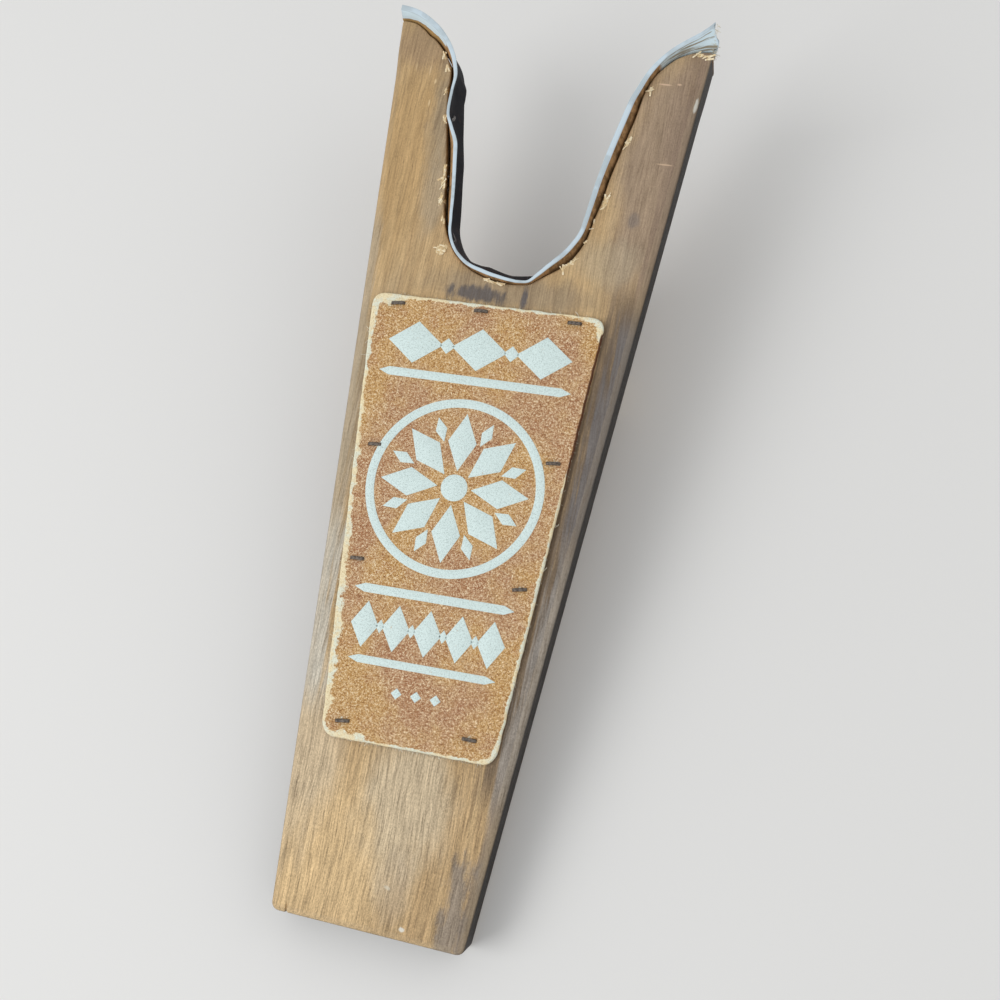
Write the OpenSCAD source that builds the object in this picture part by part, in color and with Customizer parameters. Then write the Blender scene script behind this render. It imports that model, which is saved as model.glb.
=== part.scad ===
// Boot jack: a tapered wooden plank whose wide end is forked, raised on a cross cleat.
// A leather strip lines the notch and a leather panel is stapled to the top of the plank.
// Millimetres. Z is up and the floor is Z = 0. The plank runs along Y, its fork towards +Y,
// and the origin is on the floor under the middle of the whole object.

/* [Plank] */
// Length of the plank before the notch is cut
plank_l = 356; // [320:1:420]
// Width across the horn tips
fork_w = 128; // [120:1:150]
// Width of the tail end
tail_w = 73.5; // [64:0.5:100]
// Thickness of the plank
plank_t = 19; // [16:0.5:25]
// Radius of the eased long edges and tail edges
edge_r = 2.5; // [1:0.25:4]
// Radius of the two tail corners, seen from above
tail_corner_r = 3; // [1:0.5:8]
// Slope of the plank above the floor, in degrees
plank_tilt = 9; // [6:0.5:12]

/* [Notch] */
// Depth of the notch, from the front of the horns to the crotch
notch_depth = 103.5; // [92:0.5:112]
// Radius of the rounded crotch
throat_r = 30.5; // [25:0.5:34]
// Radius of the rounded nose of each horn
nose_r = 21; // [14:0.5:25]
// Flat land between a nose and the outer side of its horn
horn_land = 1; // [0:0.25:4]
// How far the square end of the blank stands past the noses
end_trim = 2.5; // [1:0.5:5]
// Slant of the notch wall against the square of the plank, in degrees
notch_slant = 5; // [0:1:16]

/* [Notch liner] */
// Width of the leather strip
liner_w = 25.4; // [23:0.2:32]
// Thickness of the leather strip
liner_t = 2; // [1.2:0.1:3]
// How far the strip stands above the top of the plank
liner_proud = 3; // [0.5:0.25:4]
// How far the strip bulges off the wall between its staples
liner_bulge = 3; // [0.5:0.25:4]

/* [Label panel] */
// Height of the panel, along the plank
label_h = 172; // [120:1:180]
// Width of its top edge
label_top_w = 93; // [70:1:98]
// Width of its bottom edge
label_bottom_w = 66.5; // [50:0.5:74]
// Thickness of the panel
label_t = 2.2; // [1.2:0.1:3.5]
// Radius of its corners
label_corner_r = 5; // [2:0.5:10]
// Distance from the crotch of the notch to the panel's top edge
label_gap = 11.4; // [6:0.2:30]
// Sideways shift of the panel's middle from the plank's middle
label_shift = -0.8; // [-3:0.1:3]
// Turn of the panel on the plank, in degrees, as it was put on by hand
label_turn = 1.6; // [-2:0.1:2]

/* [Staples] */
// Outer width of a staple's crown
staple_crown = 5.7; // [4.5:0.1:8]
// Width of the staple wire
wire_w = 1.3; // [0.8:0.05:1.6]
// Thickness of the staple wire
wire_t = 0.9; // [0.5:0.05:1.2]
// Length of a staple's legs under its crown
staple_leg = 10; // [8:0.5:14]
// How far below the top of the plank the liner's staples are driven
staple_drop = 5; // [4:0.5:9]

/* [Riser cleat] */
// Length of the cleat, across the plank
cleat_l = 90; // [60:1:92]
// Thickness of the cleat, along the plank
cleat_t = 19; // [15:0.5:30]
// Distance from the crotch back to the middle of the cleat
cleat_back = 24; // [20:1:60]
// Bevel along the cleat's foot
cleat_bevel = 1; // [0.5:0.25:3]
// Length of the cleat's screws
screw_l = 44.5; // [38:0.5:46]
// Diameter of a screw's shank
screw_d = 4.2; // [3:0.1:5]
// Diameter of a screw's head
screw_head_d = 8.4; // [6.5:0.1:10]
// Distance between the two screws
screw_spacing = 56; // [30:1:64]

/* [Fits] */
// Clearance around a staple's leg and a screw
hole_gap = 0.1; // [0.05:0.05:0.3]
// Least gap between the strip's back and the wall of the notch
back_gap = 0.15; // [0.1:0.05:0.3]
// Gap under the crown of a staple on the curved strip
crown_gap = 0.2; // [0.1:0.05:0.3]

/* [Hidden] */
$fn = 72;
over = 2;

// Plank
side_angle = atan((fork_w - tail_w) / 2 / plank_l);
side_l = plank_l / cos(side_angle);
crotch_v = plank_l - end_trim - notch_depth;

// Wall of the notch, in the slanted frame of the cut: from the crotch a throat arc turns up to
// the flare, a straight side runs along it, and a nose arc turns it out to the horn's side
nose_top = notch_depth * cos(notch_slant);
nose_x = fork_w / 2 - horn_land;
nose_y = nose_top - nose_r;
centre_angle = atan2(nose_x, nose_y - throat_r);
centre_gap = norm([nose_x, nose_y - throat_r]);
flare = centre_angle - asin((throat_r + nose_r) / centre_gap);
throat_arc = throat_r * (90 - flare) * PI / 180;
side_run = centre_gap * cos(centre_angle - flare);
nose_arc = nose_r * (90 - flare) * PI / 180;
half_wall = throat_arc + side_run + nose_arc + horn_land;
side_start = [throat_r * cos(flare), throat_r * (1 - sin(flare))];
side_end = [nose_x - nose_r * cos(flare), nose_y + nose_r * sin(flare)];

// Line of the liner. Each row holds a place along the wall, as a share of half the wall from the
// crotch with the left horn negative, the stand-off from the wall as a share of liner_bulge, and
// 1 where a staple holds the strip
liner_line = [
    [-1, 1.1, 0], [-0.9, 0.9, 0], [-0.8, 0.6, 1], [-0.71, 1, 0], [-0.615, 0, 1], [-0.5, 1, 0],
    [-0.41, 0.9, 1], [-0.23, 0.2, 1], [-0.13, 0, 0], [-0.03, 0.7, 0], [0.068, 0, 1],
    [0.14, 0.7, 0], [0.205, 0.7, 1], [0.3, 0.9, 0], [0.4, 0.8, 1], [0.49, 1, 0],
    [0.577, 0.8, 1], [0.67, 1, 0], [0.76, 0.6, 1], [0.88, 1, 0], [1, 1.4, 0]
];
// Half of the length over which the strip lies flat under a staple
flat_half = staple_crown / 2 + 0.4;
liner_step = 2.5;
liner_drop = liner_w - liner_proud;

// Label staples: place across and along the panel, as shares of its half width there and of its
// half height, and the turn of the crown in degrees
staples_top = [[-0.77, 0.957, 7], [-0.05, 0.966, 1.5], [0.75, 0.962, 1.5]];
staples_left = [[-0.81, 0.295, 5], [-0.84, -0.222, 2.5]];
staples_right = [[0.85, 0.322, 5.5], [0.82, -0.245, 10.5]];
staples_bottom = [[-0.77, -0.927, 7.5], [0.665, -0.908, -0.5]];
// Turn of the crown of each liner staple, in degrees, from the left horn to the right one
crown_turns = [20, -55, 10, -25, 8, 15, -12, 20, -8];
// Bevel of the crown's bends, and length of a leg's point
bend_bevel = 0.35;
point_l = 1.2;

label_v = crotch_v - label_gap - label_h / 2;

// Screws: half of the angle of the head's cone, height of the head's rim, depth the head is sunk
head_cone = 41;
head_rim = 0.4;
screw_sink = 0.3;
slot_w = 1.2;
screw_tip_l = 6;

// Point of the right half of the wall at a distance from the crotch
function wall_right(s) =
    s < throat_arc ? let (a = s / throat_r * 180 / PI) [throat_r * sin(a), throat_r * (1 - cos(a))]
    : s < throat_arc + side_run ? side_start + (s - throat_arc) * [sin(flare), cos(flare)]
    : s < throat_arc + side_run + nose_arc ?
        [nose_x, nose_y] + nose_r * [-cos(wall_lean(s)), sin(wall_lean(s))]
    : [nose_x + s - throat_arc - side_run - nose_arc, nose_top];

// Angle between the wall and the length of the plank at a distance from the crotch
function wall_lean(s) =
    s < throat_arc ? 90 - s / throat_r * 180 / PI
    : s < throat_arc + side_run ? flare
    : min(90, flare + (s - throat_arc - side_run) / nose_r * 180 / PI);

function side_sign(s) = s < 0 ? -1 : 1;
function wall(s) = let (p = wall_right(abs(s))) [side_sign(s) * p.x, p.y];
function wall_normal(s) = let (a = wall_lean(abs(s))) [-side_sign(s) * cos(a), sin(a)];

// The liner's rows as distances and stand-offs, each staple's row doubled over its flat stretch
knots = [
    for (row = liner_line)
        for (d = row[2] == 1 ? [-flat_half, flat_half] : [0])
            [row[0] * half_wall + d, back_gap + row[1] * liner_bulge]
];

// Stand-off of the strip's back from the wall, eased between two knots
function between(s, i) =
    let (t = (s - knots[i][0]) / (knots[i + 1][0] - knots[i][0]))
    knots[i][1] + (knots[i + 1][1] - knots[i][1]) * (1 - cos(180 * min(1, max(0, t)))) / 2;
function knot_before(s, i = 0) = i > len(knots) - 3 || s < knots[i + 1][0] ? i : knot_before(s, i + 1);
function stand_off(share) = between(share * half_wall, knot_before(share * half_wall));
function strip_point(s, depth) = wall(s) + (stand_off(s / half_wall) + depth) * wall_normal(s);

// Outline of the strip seen along the cut: its back, then its face
strip_n = ceil(2 * half_wall / liner_step);
strip_s = [for (i = [0:strip_n]) (2 * i / strip_n - 1) * half_wall];
strip_outline = concat(
    [for (s = strip_s) strip_point(s, 0)],
    [for (i = [strip_n:-1:0]) strip_point(strip_s[i], liner_t)]
);

liner_holds = [for (row = liner_line) if (row[2] == 1) row[0]];

// Placing: the eased tail edge touches the floor, and the box of the whole object is centred
plank_z = edge_r * (1 - sin(plank_tilt) - cos(plank_tilt));
cleat_v = crotch_v - cleat_back;
tail_y = edge_r * (cos(plank_tilt) - 1) - (plank_t - edge_r) * sin(plank_tilt);
tip_y = nose_top + stand_off(1) + liner_t;
tip_v = crotch_v + tip_y / cos(notch_slant) + liner_drop * tan(notch_slant);
front_y = tip_v * cos(plank_tilt) - (plank_t - liner_drop) * sin(plank_tilt);
plank_y = -(tail_y + front_y) / 2;

// Puts a piece drawn on the plank, its underside at Z = 0 and its tail at Y = 0, on the floor
module on_plank() {
    translate([0, plank_y, plank_z]) rotate([plank_tilt, 0, 0]) children();
}

// The frame of the slanted cut: its origin is at the crotch, on top of the plank
module in_notch() {
    translate([0, crotch_v, plank_t]) rotate([notch_slant, 0, 0]) children();
}

// Puts a piece drawn on the panel, at its middle and its underside, on top of the plank
module on_label_seat() {
    translate([label_shift, label_v, plank_t]) rotate([0, 0, label_turn]) children();
}

// What a round-over takes off an edge along Y, from the solid at X < 0 and Z < 0
module edge_cut(l) {
    difference() {
        translate([-edge_r, -over, -edge_r]) cube([2 * edge_r, l + 2 * over, 2 * edge_r]);
        translate([-edge_r, -2 * over, -edge_r]) rotate([-90, 0, 0]) cylinder(r = edge_r, h = l + 4 * over);
    }
}

// What rounding takes off an upright corner whose two sides leave it at angles a1 and a2
module corner_cut(corner, a1, a2, r, h) {
    half = (a2 - a1) / 2;
    inward = [cos((a1 + a2) / 2), sin((a1 + a2) / 2)];
    middle = corner + r / sin(half) * inward;
    reach = r / tan(half);
    difference() {
        translate([0, 0, -over]) linear_extrude(h + 2 * over) polygon([
            corner - over * inward,
            corner + reach * [cos(a1), sin(a1)] - over * inward,
            middle,
            corner + reach * [cos(a2), sin(a2)] - over * inward
        ]);
        translate([middle.x, middle.y, -2 * over]) cylinder(r = r, h = h + 4 * over);
    }
}

// Everything that the eased edges and the tail corners take off the blank
module easing() {
    for (side = [0, 1]) mirror([side, 0, 0]) {
        translate([tail_w / 2, 0, plank_t]) rotate([0, 0, -side_angle]) edge_cut(side_l);
        translate([tail_w / 2, 0, 0]) mirror([0, 0, 1]) rotate([0, 0, -side_angle]) edge_cut(side_l);
        corner_cut([tail_w / 2, 0], 90 - side_angle, 180, tail_corner_r, plank_t);
    }
    translate([-tail_w / 2, 0, plank_t]) rotate([0, 0, -90]) edge_cut(tail_w);
    translate([-tail_w / 2, 0, 0]) mirror([0, 0, 1]) rotate([0, 0, -90]) edge_cut(tail_w);
}

// The opening between the horns, long enough to pass both faces of the plank
module notch_space() {
    reach = plank_t + notch_depth;
    far_x = fork_w;
    far_y = nose_top + plank_t;
    translate([0, 0, -reach]) difference() {
        union() {
            translate([0, throat_r, 0]) cylinder(r = throat_r, h = 2 * reach);
            linear_extrude(2 * reach) polygon([
                side_start, side_end, [nose_x, nose_top], [far_x, nose_top], [far_x, far_y],
                [-far_x, far_y], [-far_x, nose_top], [-nose_x, nose_top],
                [-side_end.x, side_end.y], [-side_start.x, side_start.y]
            ]);
        }
        for (side = [-1, 1])
            translate([side * nose_x, nose_y, -over]) cylinder(r = nose_r, h = 2 * (reach + over));
    }
}

// A staple with its crown along X, resting at Z = 0, and its legs pointing down
module staple() {
    c = staple_crown / 2;
    rotate([90, 0, 0]) translate([0, 0, -wire_w / 2]) linear_extrude(wire_w) polygon([
        [-c + bend_bevel, wire_t], [c - bend_bevel, wire_t], [c, wire_t - bend_bevel],
        [c, point_l - staple_leg], [c - wire_t, -staple_leg], [c - wire_t, 0],
        [wire_t - c, 0], [wire_t - c, -staple_leg], [-c, point_l - staple_leg],
        [-c, wire_t - bend_bevel]
    ]);
}

// The two holes that a staple's legs make
module staple_holes() {
    for (side = [-1, 1])
        translate([side * (staple_crown - wire_t) / 2, 0, -staple_leg / 2])
            cube([wire_t + 2 * hole_gap, wire_w + 2 * hole_gap, staple_leg + 2 * hole_gap], center = true);
}

// Places its child at each of the given label staples, on top of the panel
module at_label_staples(rows) {
    for (row = rows) {
        half_w = (label_top_w + label_bottom_w) / 4 + row[1] * (label_top_w - label_bottom_w) / 4;
        on_label_seat() translate([row[0] * half_w, row[1] * label_h / 2, label_t])
            rotate([0, 0, row[2]]) children();
    }
}

// Places its child at the liner staples from first to last, on the strip's face
module at_liner_staples(first, last) {
    for (i = [first:last]) {
        s = liner_holds[i] * half_wall;
        p = strip_point(s, liner_t + crown_gap);
        in_notch() translate([p.x, p.y, -(staple_drop + p.y * sin(notch_slant)) / cos(notch_slant)])
            rotate([0, 0, side_sign(s) * (90 - wall_lean(abs(s)))]) rotate([-90, 0, 0])
                rotate([0, 0, crown_turns[i]]) children();
    }
}

// Every label staple, and every liner staple
module at_all_staples() {
    at_label_staples(concat(staples_top, staples_left, staples_right, staples_bottom)) children();
    at_liner_staples(0, len(liner_holds) - 1) children();
}

// A countersunk wood screw, made wider by gap for the hole that it sits in
module screw_body(gap = 0) {
    head_r = screw_head_d / 2 + gap;
    shank_r = screw_d / 2 + gap;
    cone_h = (head_r - shank_r) / tan(head_cone);
    head_top = gap > 0 ? over : 0;
    rotate_extrude() polygon([
        [0, head_top], [head_r, head_top], [head_r, -head_rim], [shank_r, -head_rim - cone_h],
        [shank_r, screw_tip_l - screw_l - gap], [0, -screw_l - 2 * gap]
    ]);
}

module at_screws() {
    for (side = [-1, 1])
        translate([side * screw_spacing / 2, cleat_v, plank_t - screw_sink]) children();
}

module plank() {
    color([0.66, 0.52, 0.37]) on_plank() difference() {
        linear_extrude(plank_t) polygon([
            [-tail_w / 2, 0], [tail_w / 2, 0], [fork_w / 2, plank_l], [-fork_w / 2, plank_l]
        ]);
        easing();
        in_notch() notch_space();
        at_all_staples() staple_holes();
        at_screws() screw_body(hole_gap);
    }
}

// The cleat stands square to the plank, and its foot is planed level with the floor
module riser_cleat() {
    back = cleat_v - cleat_t / 2;
    front = cleat_v + cleat_t / 2;
    function foot(v) = (-plank_z - v * sin(plank_tilt)) / cos(plank_tilt);
    color([0.72, 0.6, 0.42]) on_plank() difference() {
        translate([-cleat_l / 2, 0, 0]) rotate([90, 0, 90]) linear_extrude(cleat_l) polygon([
            [back, 0], [back, foot(back) + cleat_bevel], [back + cleat_bevel, foot(back + cleat_bevel)],
            [front - cleat_bevel, foot(front - cleat_bevel)], [front, foot(front) + cleat_bevel],
            [front, 0]
        ]);
        at_screws() screw_body(hole_gap);
    }
}

module notch_liner() {
    slab_l = fork_w * 2;
    color([0.3, 0.22, 0.2]) on_plank() difference() {
        intersection() {
            in_notch() translate([0, 0, -2 * liner_w]) linear_extrude(4 * liner_w) polygon(strip_outline);
            translate([-slab_l / 2, crotch_v - slab_l / 2, plank_t - liner_drop])
                cube([slab_l, slab_l * 2, liner_w]);
        }
        at_liner_staples(0, len(liner_holds) - 1) staple_holes();
    }
}

module label_panel() {
    top = label_top_w / 2;
    bottom = label_bottom_w / 2;
    lean = atan((top - bottom) / label_h);
    color([0.72, 0.5, 0.3]) on_plank() difference() {
        on_label_seat() difference() {
            linear_extrude(label_t) polygon([
                [-bottom, -label_h / 2], [bottom, -label_h / 2], [top, label_h / 2], [-top, label_h / 2]
            ]);
            for (side = [0, 1]) mirror([side, 0, 0]) {
                corner_cut([bottom, -label_h / 2], 90 - lean, 180, label_corner_r, label_t);
                corner_cut([top, label_h / 2], 180, 270 - lean, label_corner_r, label_t);
            }
        }
        at_all_staples() staple_holes();
    }
}

module label_staples(rows) {
    color([0.33, 0.3, 0.28]) on_plank() at_label_staples(rows) staple();
}

module liner_staples(first, last) {
    color([0.4, 0.38, 0.36]) on_plank() at_liner_staples(first, last) staple();
}

module cleat_screws() {
    color([0.6, 0.6, 0.58]) on_plank() at_screws() difference() {
        screw_body();
        cube([screw_head_d + over, slot_w, 2 * slot_w], center = true);
    }
}

plank();
riser_cleat();
notch_liner();
label_panel();
label_staples(staples_top);  // label_staples_top
label_staples(staples_left);  // label_staples_left
label_staples(staples_right);  // label_staples_right
label_staples(staples_bottom);  // label_staples_bottom
liner_staples(0, 3);  // liner_staples_left
liner_staples(4, 4);  // liner_staple_crotch
liner_staples(5, 8);  // liner_staples_right
cleat_screws();
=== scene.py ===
"""Looks of a wooden boot jack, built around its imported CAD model.

A tapered plank lies tail down on a cross cleat, its wide end forked by a leather-lined notch, with
a stapled leather panel on top. Sizes are millimetres in the plank's own frame: u runs across it, v
from its tail to its fork and w up from its underside. Slope turns them into metres in the room.
"""

from __future__ import annotations

import logging
import math
from dataclasses import dataclass, field
from enum import Enum
from typing import Iterable, Sequence, Union

import bmesh
import bpy
import numpy as np
from mathutils import Matrix, Vector, noise

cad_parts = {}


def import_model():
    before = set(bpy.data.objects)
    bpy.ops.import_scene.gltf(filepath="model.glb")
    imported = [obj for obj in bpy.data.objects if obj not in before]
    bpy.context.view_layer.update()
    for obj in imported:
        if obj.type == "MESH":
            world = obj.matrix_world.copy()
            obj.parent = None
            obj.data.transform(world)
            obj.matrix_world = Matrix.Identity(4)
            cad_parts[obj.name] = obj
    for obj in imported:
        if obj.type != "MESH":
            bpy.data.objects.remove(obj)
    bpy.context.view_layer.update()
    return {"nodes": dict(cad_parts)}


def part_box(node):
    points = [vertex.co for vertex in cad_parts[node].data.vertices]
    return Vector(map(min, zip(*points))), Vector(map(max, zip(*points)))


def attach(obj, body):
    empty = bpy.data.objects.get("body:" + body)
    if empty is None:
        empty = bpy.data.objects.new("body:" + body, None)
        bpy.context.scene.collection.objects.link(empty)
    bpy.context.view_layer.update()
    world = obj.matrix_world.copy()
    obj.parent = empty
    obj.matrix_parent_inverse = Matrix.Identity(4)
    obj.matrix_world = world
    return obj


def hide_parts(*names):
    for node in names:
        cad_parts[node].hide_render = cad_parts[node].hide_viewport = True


log = logging.getLogger("boot_jack")

MM = 0.001
QUARTER = 1.57
BODY = "root"

Colour = tuple[float, float, float, float]
Material = bpy.types.Material
Mesh = bpy.types.Mesh
Node = bpy.types.Node
Piece = bpy.types.Object
Socket = bpy.types.NodeSocket
Tree = bpy.types.NodeTree
Value = Union[float, int, Sequence[float], Socket, Material]


class Slot(Enum):
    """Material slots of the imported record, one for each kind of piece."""

    PLANK = "stained_wood"
    CLEAT = "cleat_wood"
    LINER = "liner_leather"
    PANEL = "panel_leather"
    WIRE = "staple_wire"


class Mark(Enum):
    """Vertex attributes that the finishes read."""

    RAW = "raw"
    WALL = "wall"
    # Dark sides of the plank and the panel: their stain and cut core, with painted shade
    SIDE = "side"
    UNDER = "under"
    WORN = "worn"
    CUT = "cut"
    BACK = "back"
    PALE = "pale"
    CRUST = "crust"
    ACROSS = "across"
    ALONG = "along"
    TURN = "turn"
    SIZE = "size"


def srgb(red: float, green: float, blue: float) -> Colour:
    """Turns a screen colour into the linear colour that a shader takes.

    Args:
        red: Red, 0 to 255.
        green: Green, 0 to 255.
        blue: Blue, 0 to 255.

    Returns:
        The linear colour with an alpha of 1.
    """

    def linear(part: float) -> float:
        """Linear value of one channel."""
        part /= 255
        return part / 12.92 if part <= 0.04045 else ((part + 0.055) / 1.055) ** 2.4

    return linear(red), linear(green), linear(blue), 1.0


def ease(t: np.ndarray | float) -> np.ndarray:
    """Smooth step from 0 at t = 0 to 1 at t = 1."""
    t = np.clip(t, 0.0, 1.0)
    return t * t * (3 - 2 * t)


def bump(distance: np.ndarray | float, reach: float) -> np.ndarray:
    """Smooth hill of height 1 at distance 0 that ends at the given reach."""
    return ease(1 - np.abs(distance) / reach)


def beside(*values: np.ndarray) -> np.ndarray:
    """Values side by side, one row for each point."""
    return np.column_stack(values)


def wander(points: np.ndarray, size: float, seed: float) -> np.ndarray:
    """Soft noise at points, about -1 to 1.

    Args:
        points: One point a row, two or three columns, in millimetres.
        size: Size of the pattern's blobs in millimetres.
        seed: Offset that makes one pattern differ from another.

    Returns:
        One value for each point.
    """
    flat = np.zeros((len(points), 3))
    flat[:, : points.shape[1]] = points / size
    flat[:, 2] += seed
    return np.array([noise.noise(Vector(p)) for p in flat])


def flow(x: np.ndarray, knots: Sequence[Sequence[float]], column: int) -> np.ndarray:
    """Smooth curve through knots, without waves of its own.

    Args:
        x: Places to read the curve at.
        knots: Rows that start with a place and hold values after it, in rising order.
        column: Column of the rows to follow.

    Returns:
        The curve's value at each place.
    """
    xs = np.array([row[0] for row in knots], float)
    ys = np.array([row[column] for row in knots], float)
    gap, step = np.diff(xs), np.diff(ys)
    slope = step / gap
    tangent = np.zeros(len(xs))
    for i in range(1, len(xs) - 1):
        if slope[i - 1] * slope[i] > 0:
            tangent[i] = 2 * slope[i - 1] * slope[i] / (slope[i - 1] + slope[i])
    tangent[0], tangent[-1] = slope[0], slope[-1]
    i = np.clip(np.searchsorted(xs, x, side="right") - 1, 0, len(xs) - 2)
    t = np.clip((x - xs[i]) / gap[i], 0.0, 1.0)
    return (
        ys[i] * (2 * t**3 - 3 * t**2 + 1)
        + ys[i + 1] * (3 * t**2 - 2 * t**3)
        + tangent[i] * gap[i] * (t**3 - 2 * t**2 + t)
        + tangent[i + 1] * gap[i] * (t**3 - t**2)
    )


@dataclass(frozen=True)
class Slope:
    """Place of the plank in the room: its tilt in degrees, and its tail's place in millimetres."""

    tilt: float
    y: float
    z: float

    @classmethod
    def from_frame(cls, tilt: float, edge_r: float, thickness: float) -> Slope:
        """Finds the plank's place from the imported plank.

        Args:
            tilt: Tilt of the plank in degrees.
            edge_r: Radius of its eased tail edge.
            thickness: Thickness of the plank.

        Returns:
            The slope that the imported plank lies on.
        """
        angle = math.radians(tilt)
        tail = edge_r * (math.cos(angle) - 1) - (thickness - edge_r) * math.sin(angle)
        rise = edge_r * (1 - math.sin(angle) - math.cos(angle))
        return cls(tilt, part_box("plank")[0].y / MM - tail, rise)

    def matrix(self) -> Matrix:
        """Turns millimetres on the plank into metres in the room."""
        turn = Matrix.Rotation(math.radians(self.tilt), 4, "X")
        return Matrix.Scale(MM, 4) @ Matrix.Translation((0, self.y, self.z)) @ turn

    def direction(self, along: Sequence[float]) -> Vector:
        """Turns a direction on the plank into one in the room."""
        return (Matrix.Rotation(math.radians(self.tilt), 3, "X") @ Vector(along)).normalized()


# ---------------------------------------------------------------- meshes


class Draft:
    """Points, faces and marks of one piece, before they become its mesh."""

    def __init__(self, marks: Iterable[Mark] = ()) -> None:
        """Starts an empty draft that carries the given marks."""
        self.points: list[np.ndarray] = []
        self.faces: list[tuple[int, ...]] = []
        self.finish: list[int] = []
        self.marks: dict[Mark, list[np.ndarray]] = {mark: [] for mark in marks}
        self.count = 0

    def add(
        self,
        points: np.ndarray,
        faces: Iterable[Sequence[int]],
        finish: int = 0,
        **marks: np.ndarray,
    ) -> None:
        """Adds points and the faces between them.

        Args:
            points: One point a row.
            faces: Faces that count these points from 0.
            finish: Material of the faces, counted from 0.
            **marks: Values of the draft's marks at these points, 0 where one is left out.
        """
        self.points.append(np.asarray(points, float))
        for face in faces:
            self.faces.append(tuple(i + self.count for i in face))
            self.finish.append(finish)
        for mark, values in self.marks.items():
            values.append(np.asarray(marks.get(mark.value, np.zeros(len(points))), float))
        self.count += len(points)

    def grid(
        self, rows: Sequence[np.ndarray], closed: bool, caps: bool, finish: int = 0, **marks: np.ndarray
    ) -> None:
        """Adds a skin over rows of equally many points.

        Args:
            rows: The rows of points.
            closed: Whether each row is a loop.
            caps: Whether the first and the last loop are filled.
            finish: Material of the faces, counted from 0.
            **marks: Values of the draft's marks, row after row.
        """
        wide, high = len(rows[0]), len(rows)
        faces: list[tuple[int, ...]] = [
            (r * wide + c, r * wide + (c + 1) % wide, (r + 1) * wide + (c + 1) % wide, (r + 1) * wide + c)
            for r in range(high - 1)
            for c in range(wide if closed else wide - 1)
        ]
        if caps:
            faces.append(tuple(reversed(range(wide))))
            faces.append(tuple(range((high - 1) * wide, high * wide)))
        self.add(np.concatenate(rows), faces, finish, **marks)

    def piece(self, name: str, place: Matrix, finishes: Sequence[Material], crease: float = 40.0) -> Piece:
        """Welds the draft and makes its object.

        Args:
            name: Name of the piece.
            place: Matrix from the draft's millimetres to metres in the room.
            finishes: Materials, in the order that the faces count them.
            crease: Angle in degrees past which an edge stays sharp.

        Returns:
            The object, at the origin with its place in its mesh.
        """
        points = np.concatenate(self.points)
        keys = np.round(points / 2e-4).astype(np.int64)
        _, first, back = np.unique(keys, axis=0, return_index=True, return_inverse=True)
        back = back.reshape(-1)
        faces, finish = [], []
        for face, which in zip(self.faces, self.finish):
            ring = [int(back[i]) for i in face]
            ring = [v for v, before in zip(ring, ring[-1:] + ring[:-1]) if v != before]
            if len(set(ring)) > 2:
                faces.append(ring)
                finish.append(which)
        mesh = bpy.data.meshes.new(name)
        mesh.from_pydata([place @ Vector(p) for p in points[first]], [], faces)
        mesh.polygons.foreach_set("material_index", finish)
        for mark, values in self.marks.items():
            layer = mesh.attributes.new(mark.value, "FLOAT", "POINT")
            layer.data.foreach_set("value", np.concatenate(values)[first])
        return finish_piece(name, mesh, finishes, crease)


def finish_piece(name: str, mesh: Mesh, finishes: Sequence[Material], crease: float) -> Piece:
    """Turns a mesh's faces outwards, shades it smooth and puts it in the scene.

    Args:
        name: Name of the piece.
        mesh: Its mesh, in place.
        finishes: Its materials.
        crease: Angle in degrees past which an edge stays sharp.

    Returns:
        The object, at the origin.
    """
    work = bmesh.new()
    work.from_mesh(mesh)
    bmesh.ops.dissolve_degenerate(work, dist=1e-7, edges=work.edges)
    bmesh.ops.recalc_face_normals(work, faces=work.faces)
    work.to_mesh(mesh)
    work.free()
    mesh.name = name
    for finish in finishes:
        if mesh.materials.find(finish.name) < 0:
            mesh.materials.append(finish)
    mesh.polygons.foreach_set("use_smooth", [True] * len(mesh.polygons))
    mesh.set_sharp_from_angle(angle=math.radians(crease))
    piece = bpy.data.objects.new(name, mesh)
    bpy.context.scene.collection.objects.link(piece)
    return piece


def eased(rough: Piece, width: float, segments: int, angle: float) -> Mesh:
    """Rounds the sharp edges of an object and takes its mesh out of it.

    Args:
        rough: The object, which is removed.
        width: Width of the rounding in millimetres.
        segments: Number of faces across it.
        angle: Angle in degrees past which an edge is rounded.

    Returns:
        The rounded mesh.
    """
    bevel = rough.modifiers.new("eased edges", "BEVEL")
    bevel.width = width * MM
    bevel.segments = segments
    bevel.limit_method = "ANGLE"
    bevel.angle_limit = math.radians(angle)
    graph = bpy.context.evaluated_depsgraph_get()
    mesh = bpy.data.meshes.new_from_object(rough.evaluated_get(graph), depsgraph=graph)
    bpy.data.objects.remove(rough)
    return mesh


def seat(piece: Piece, slot: Slot, *nodes: str) -> Piece:
    """Puts a piece on the model's body and hides the CAD nodes that it stands for.

    Args:
        piece: The finished piece.
        slot: Slot of the record that its finish comes from; not used.
        *nodes: CAD nodes that it replaces.

    Returns:
        The piece.
    """
    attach(piece, BODY)
    if nodes:
        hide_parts(*nodes)
    log.info("%s: %d faces%s", piece.name, len(piece.data.polygons), f" for {', '.join(nodes)}" * bool(nodes))
    return piece


# ---------------------------------------------------------------- node trees


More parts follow.
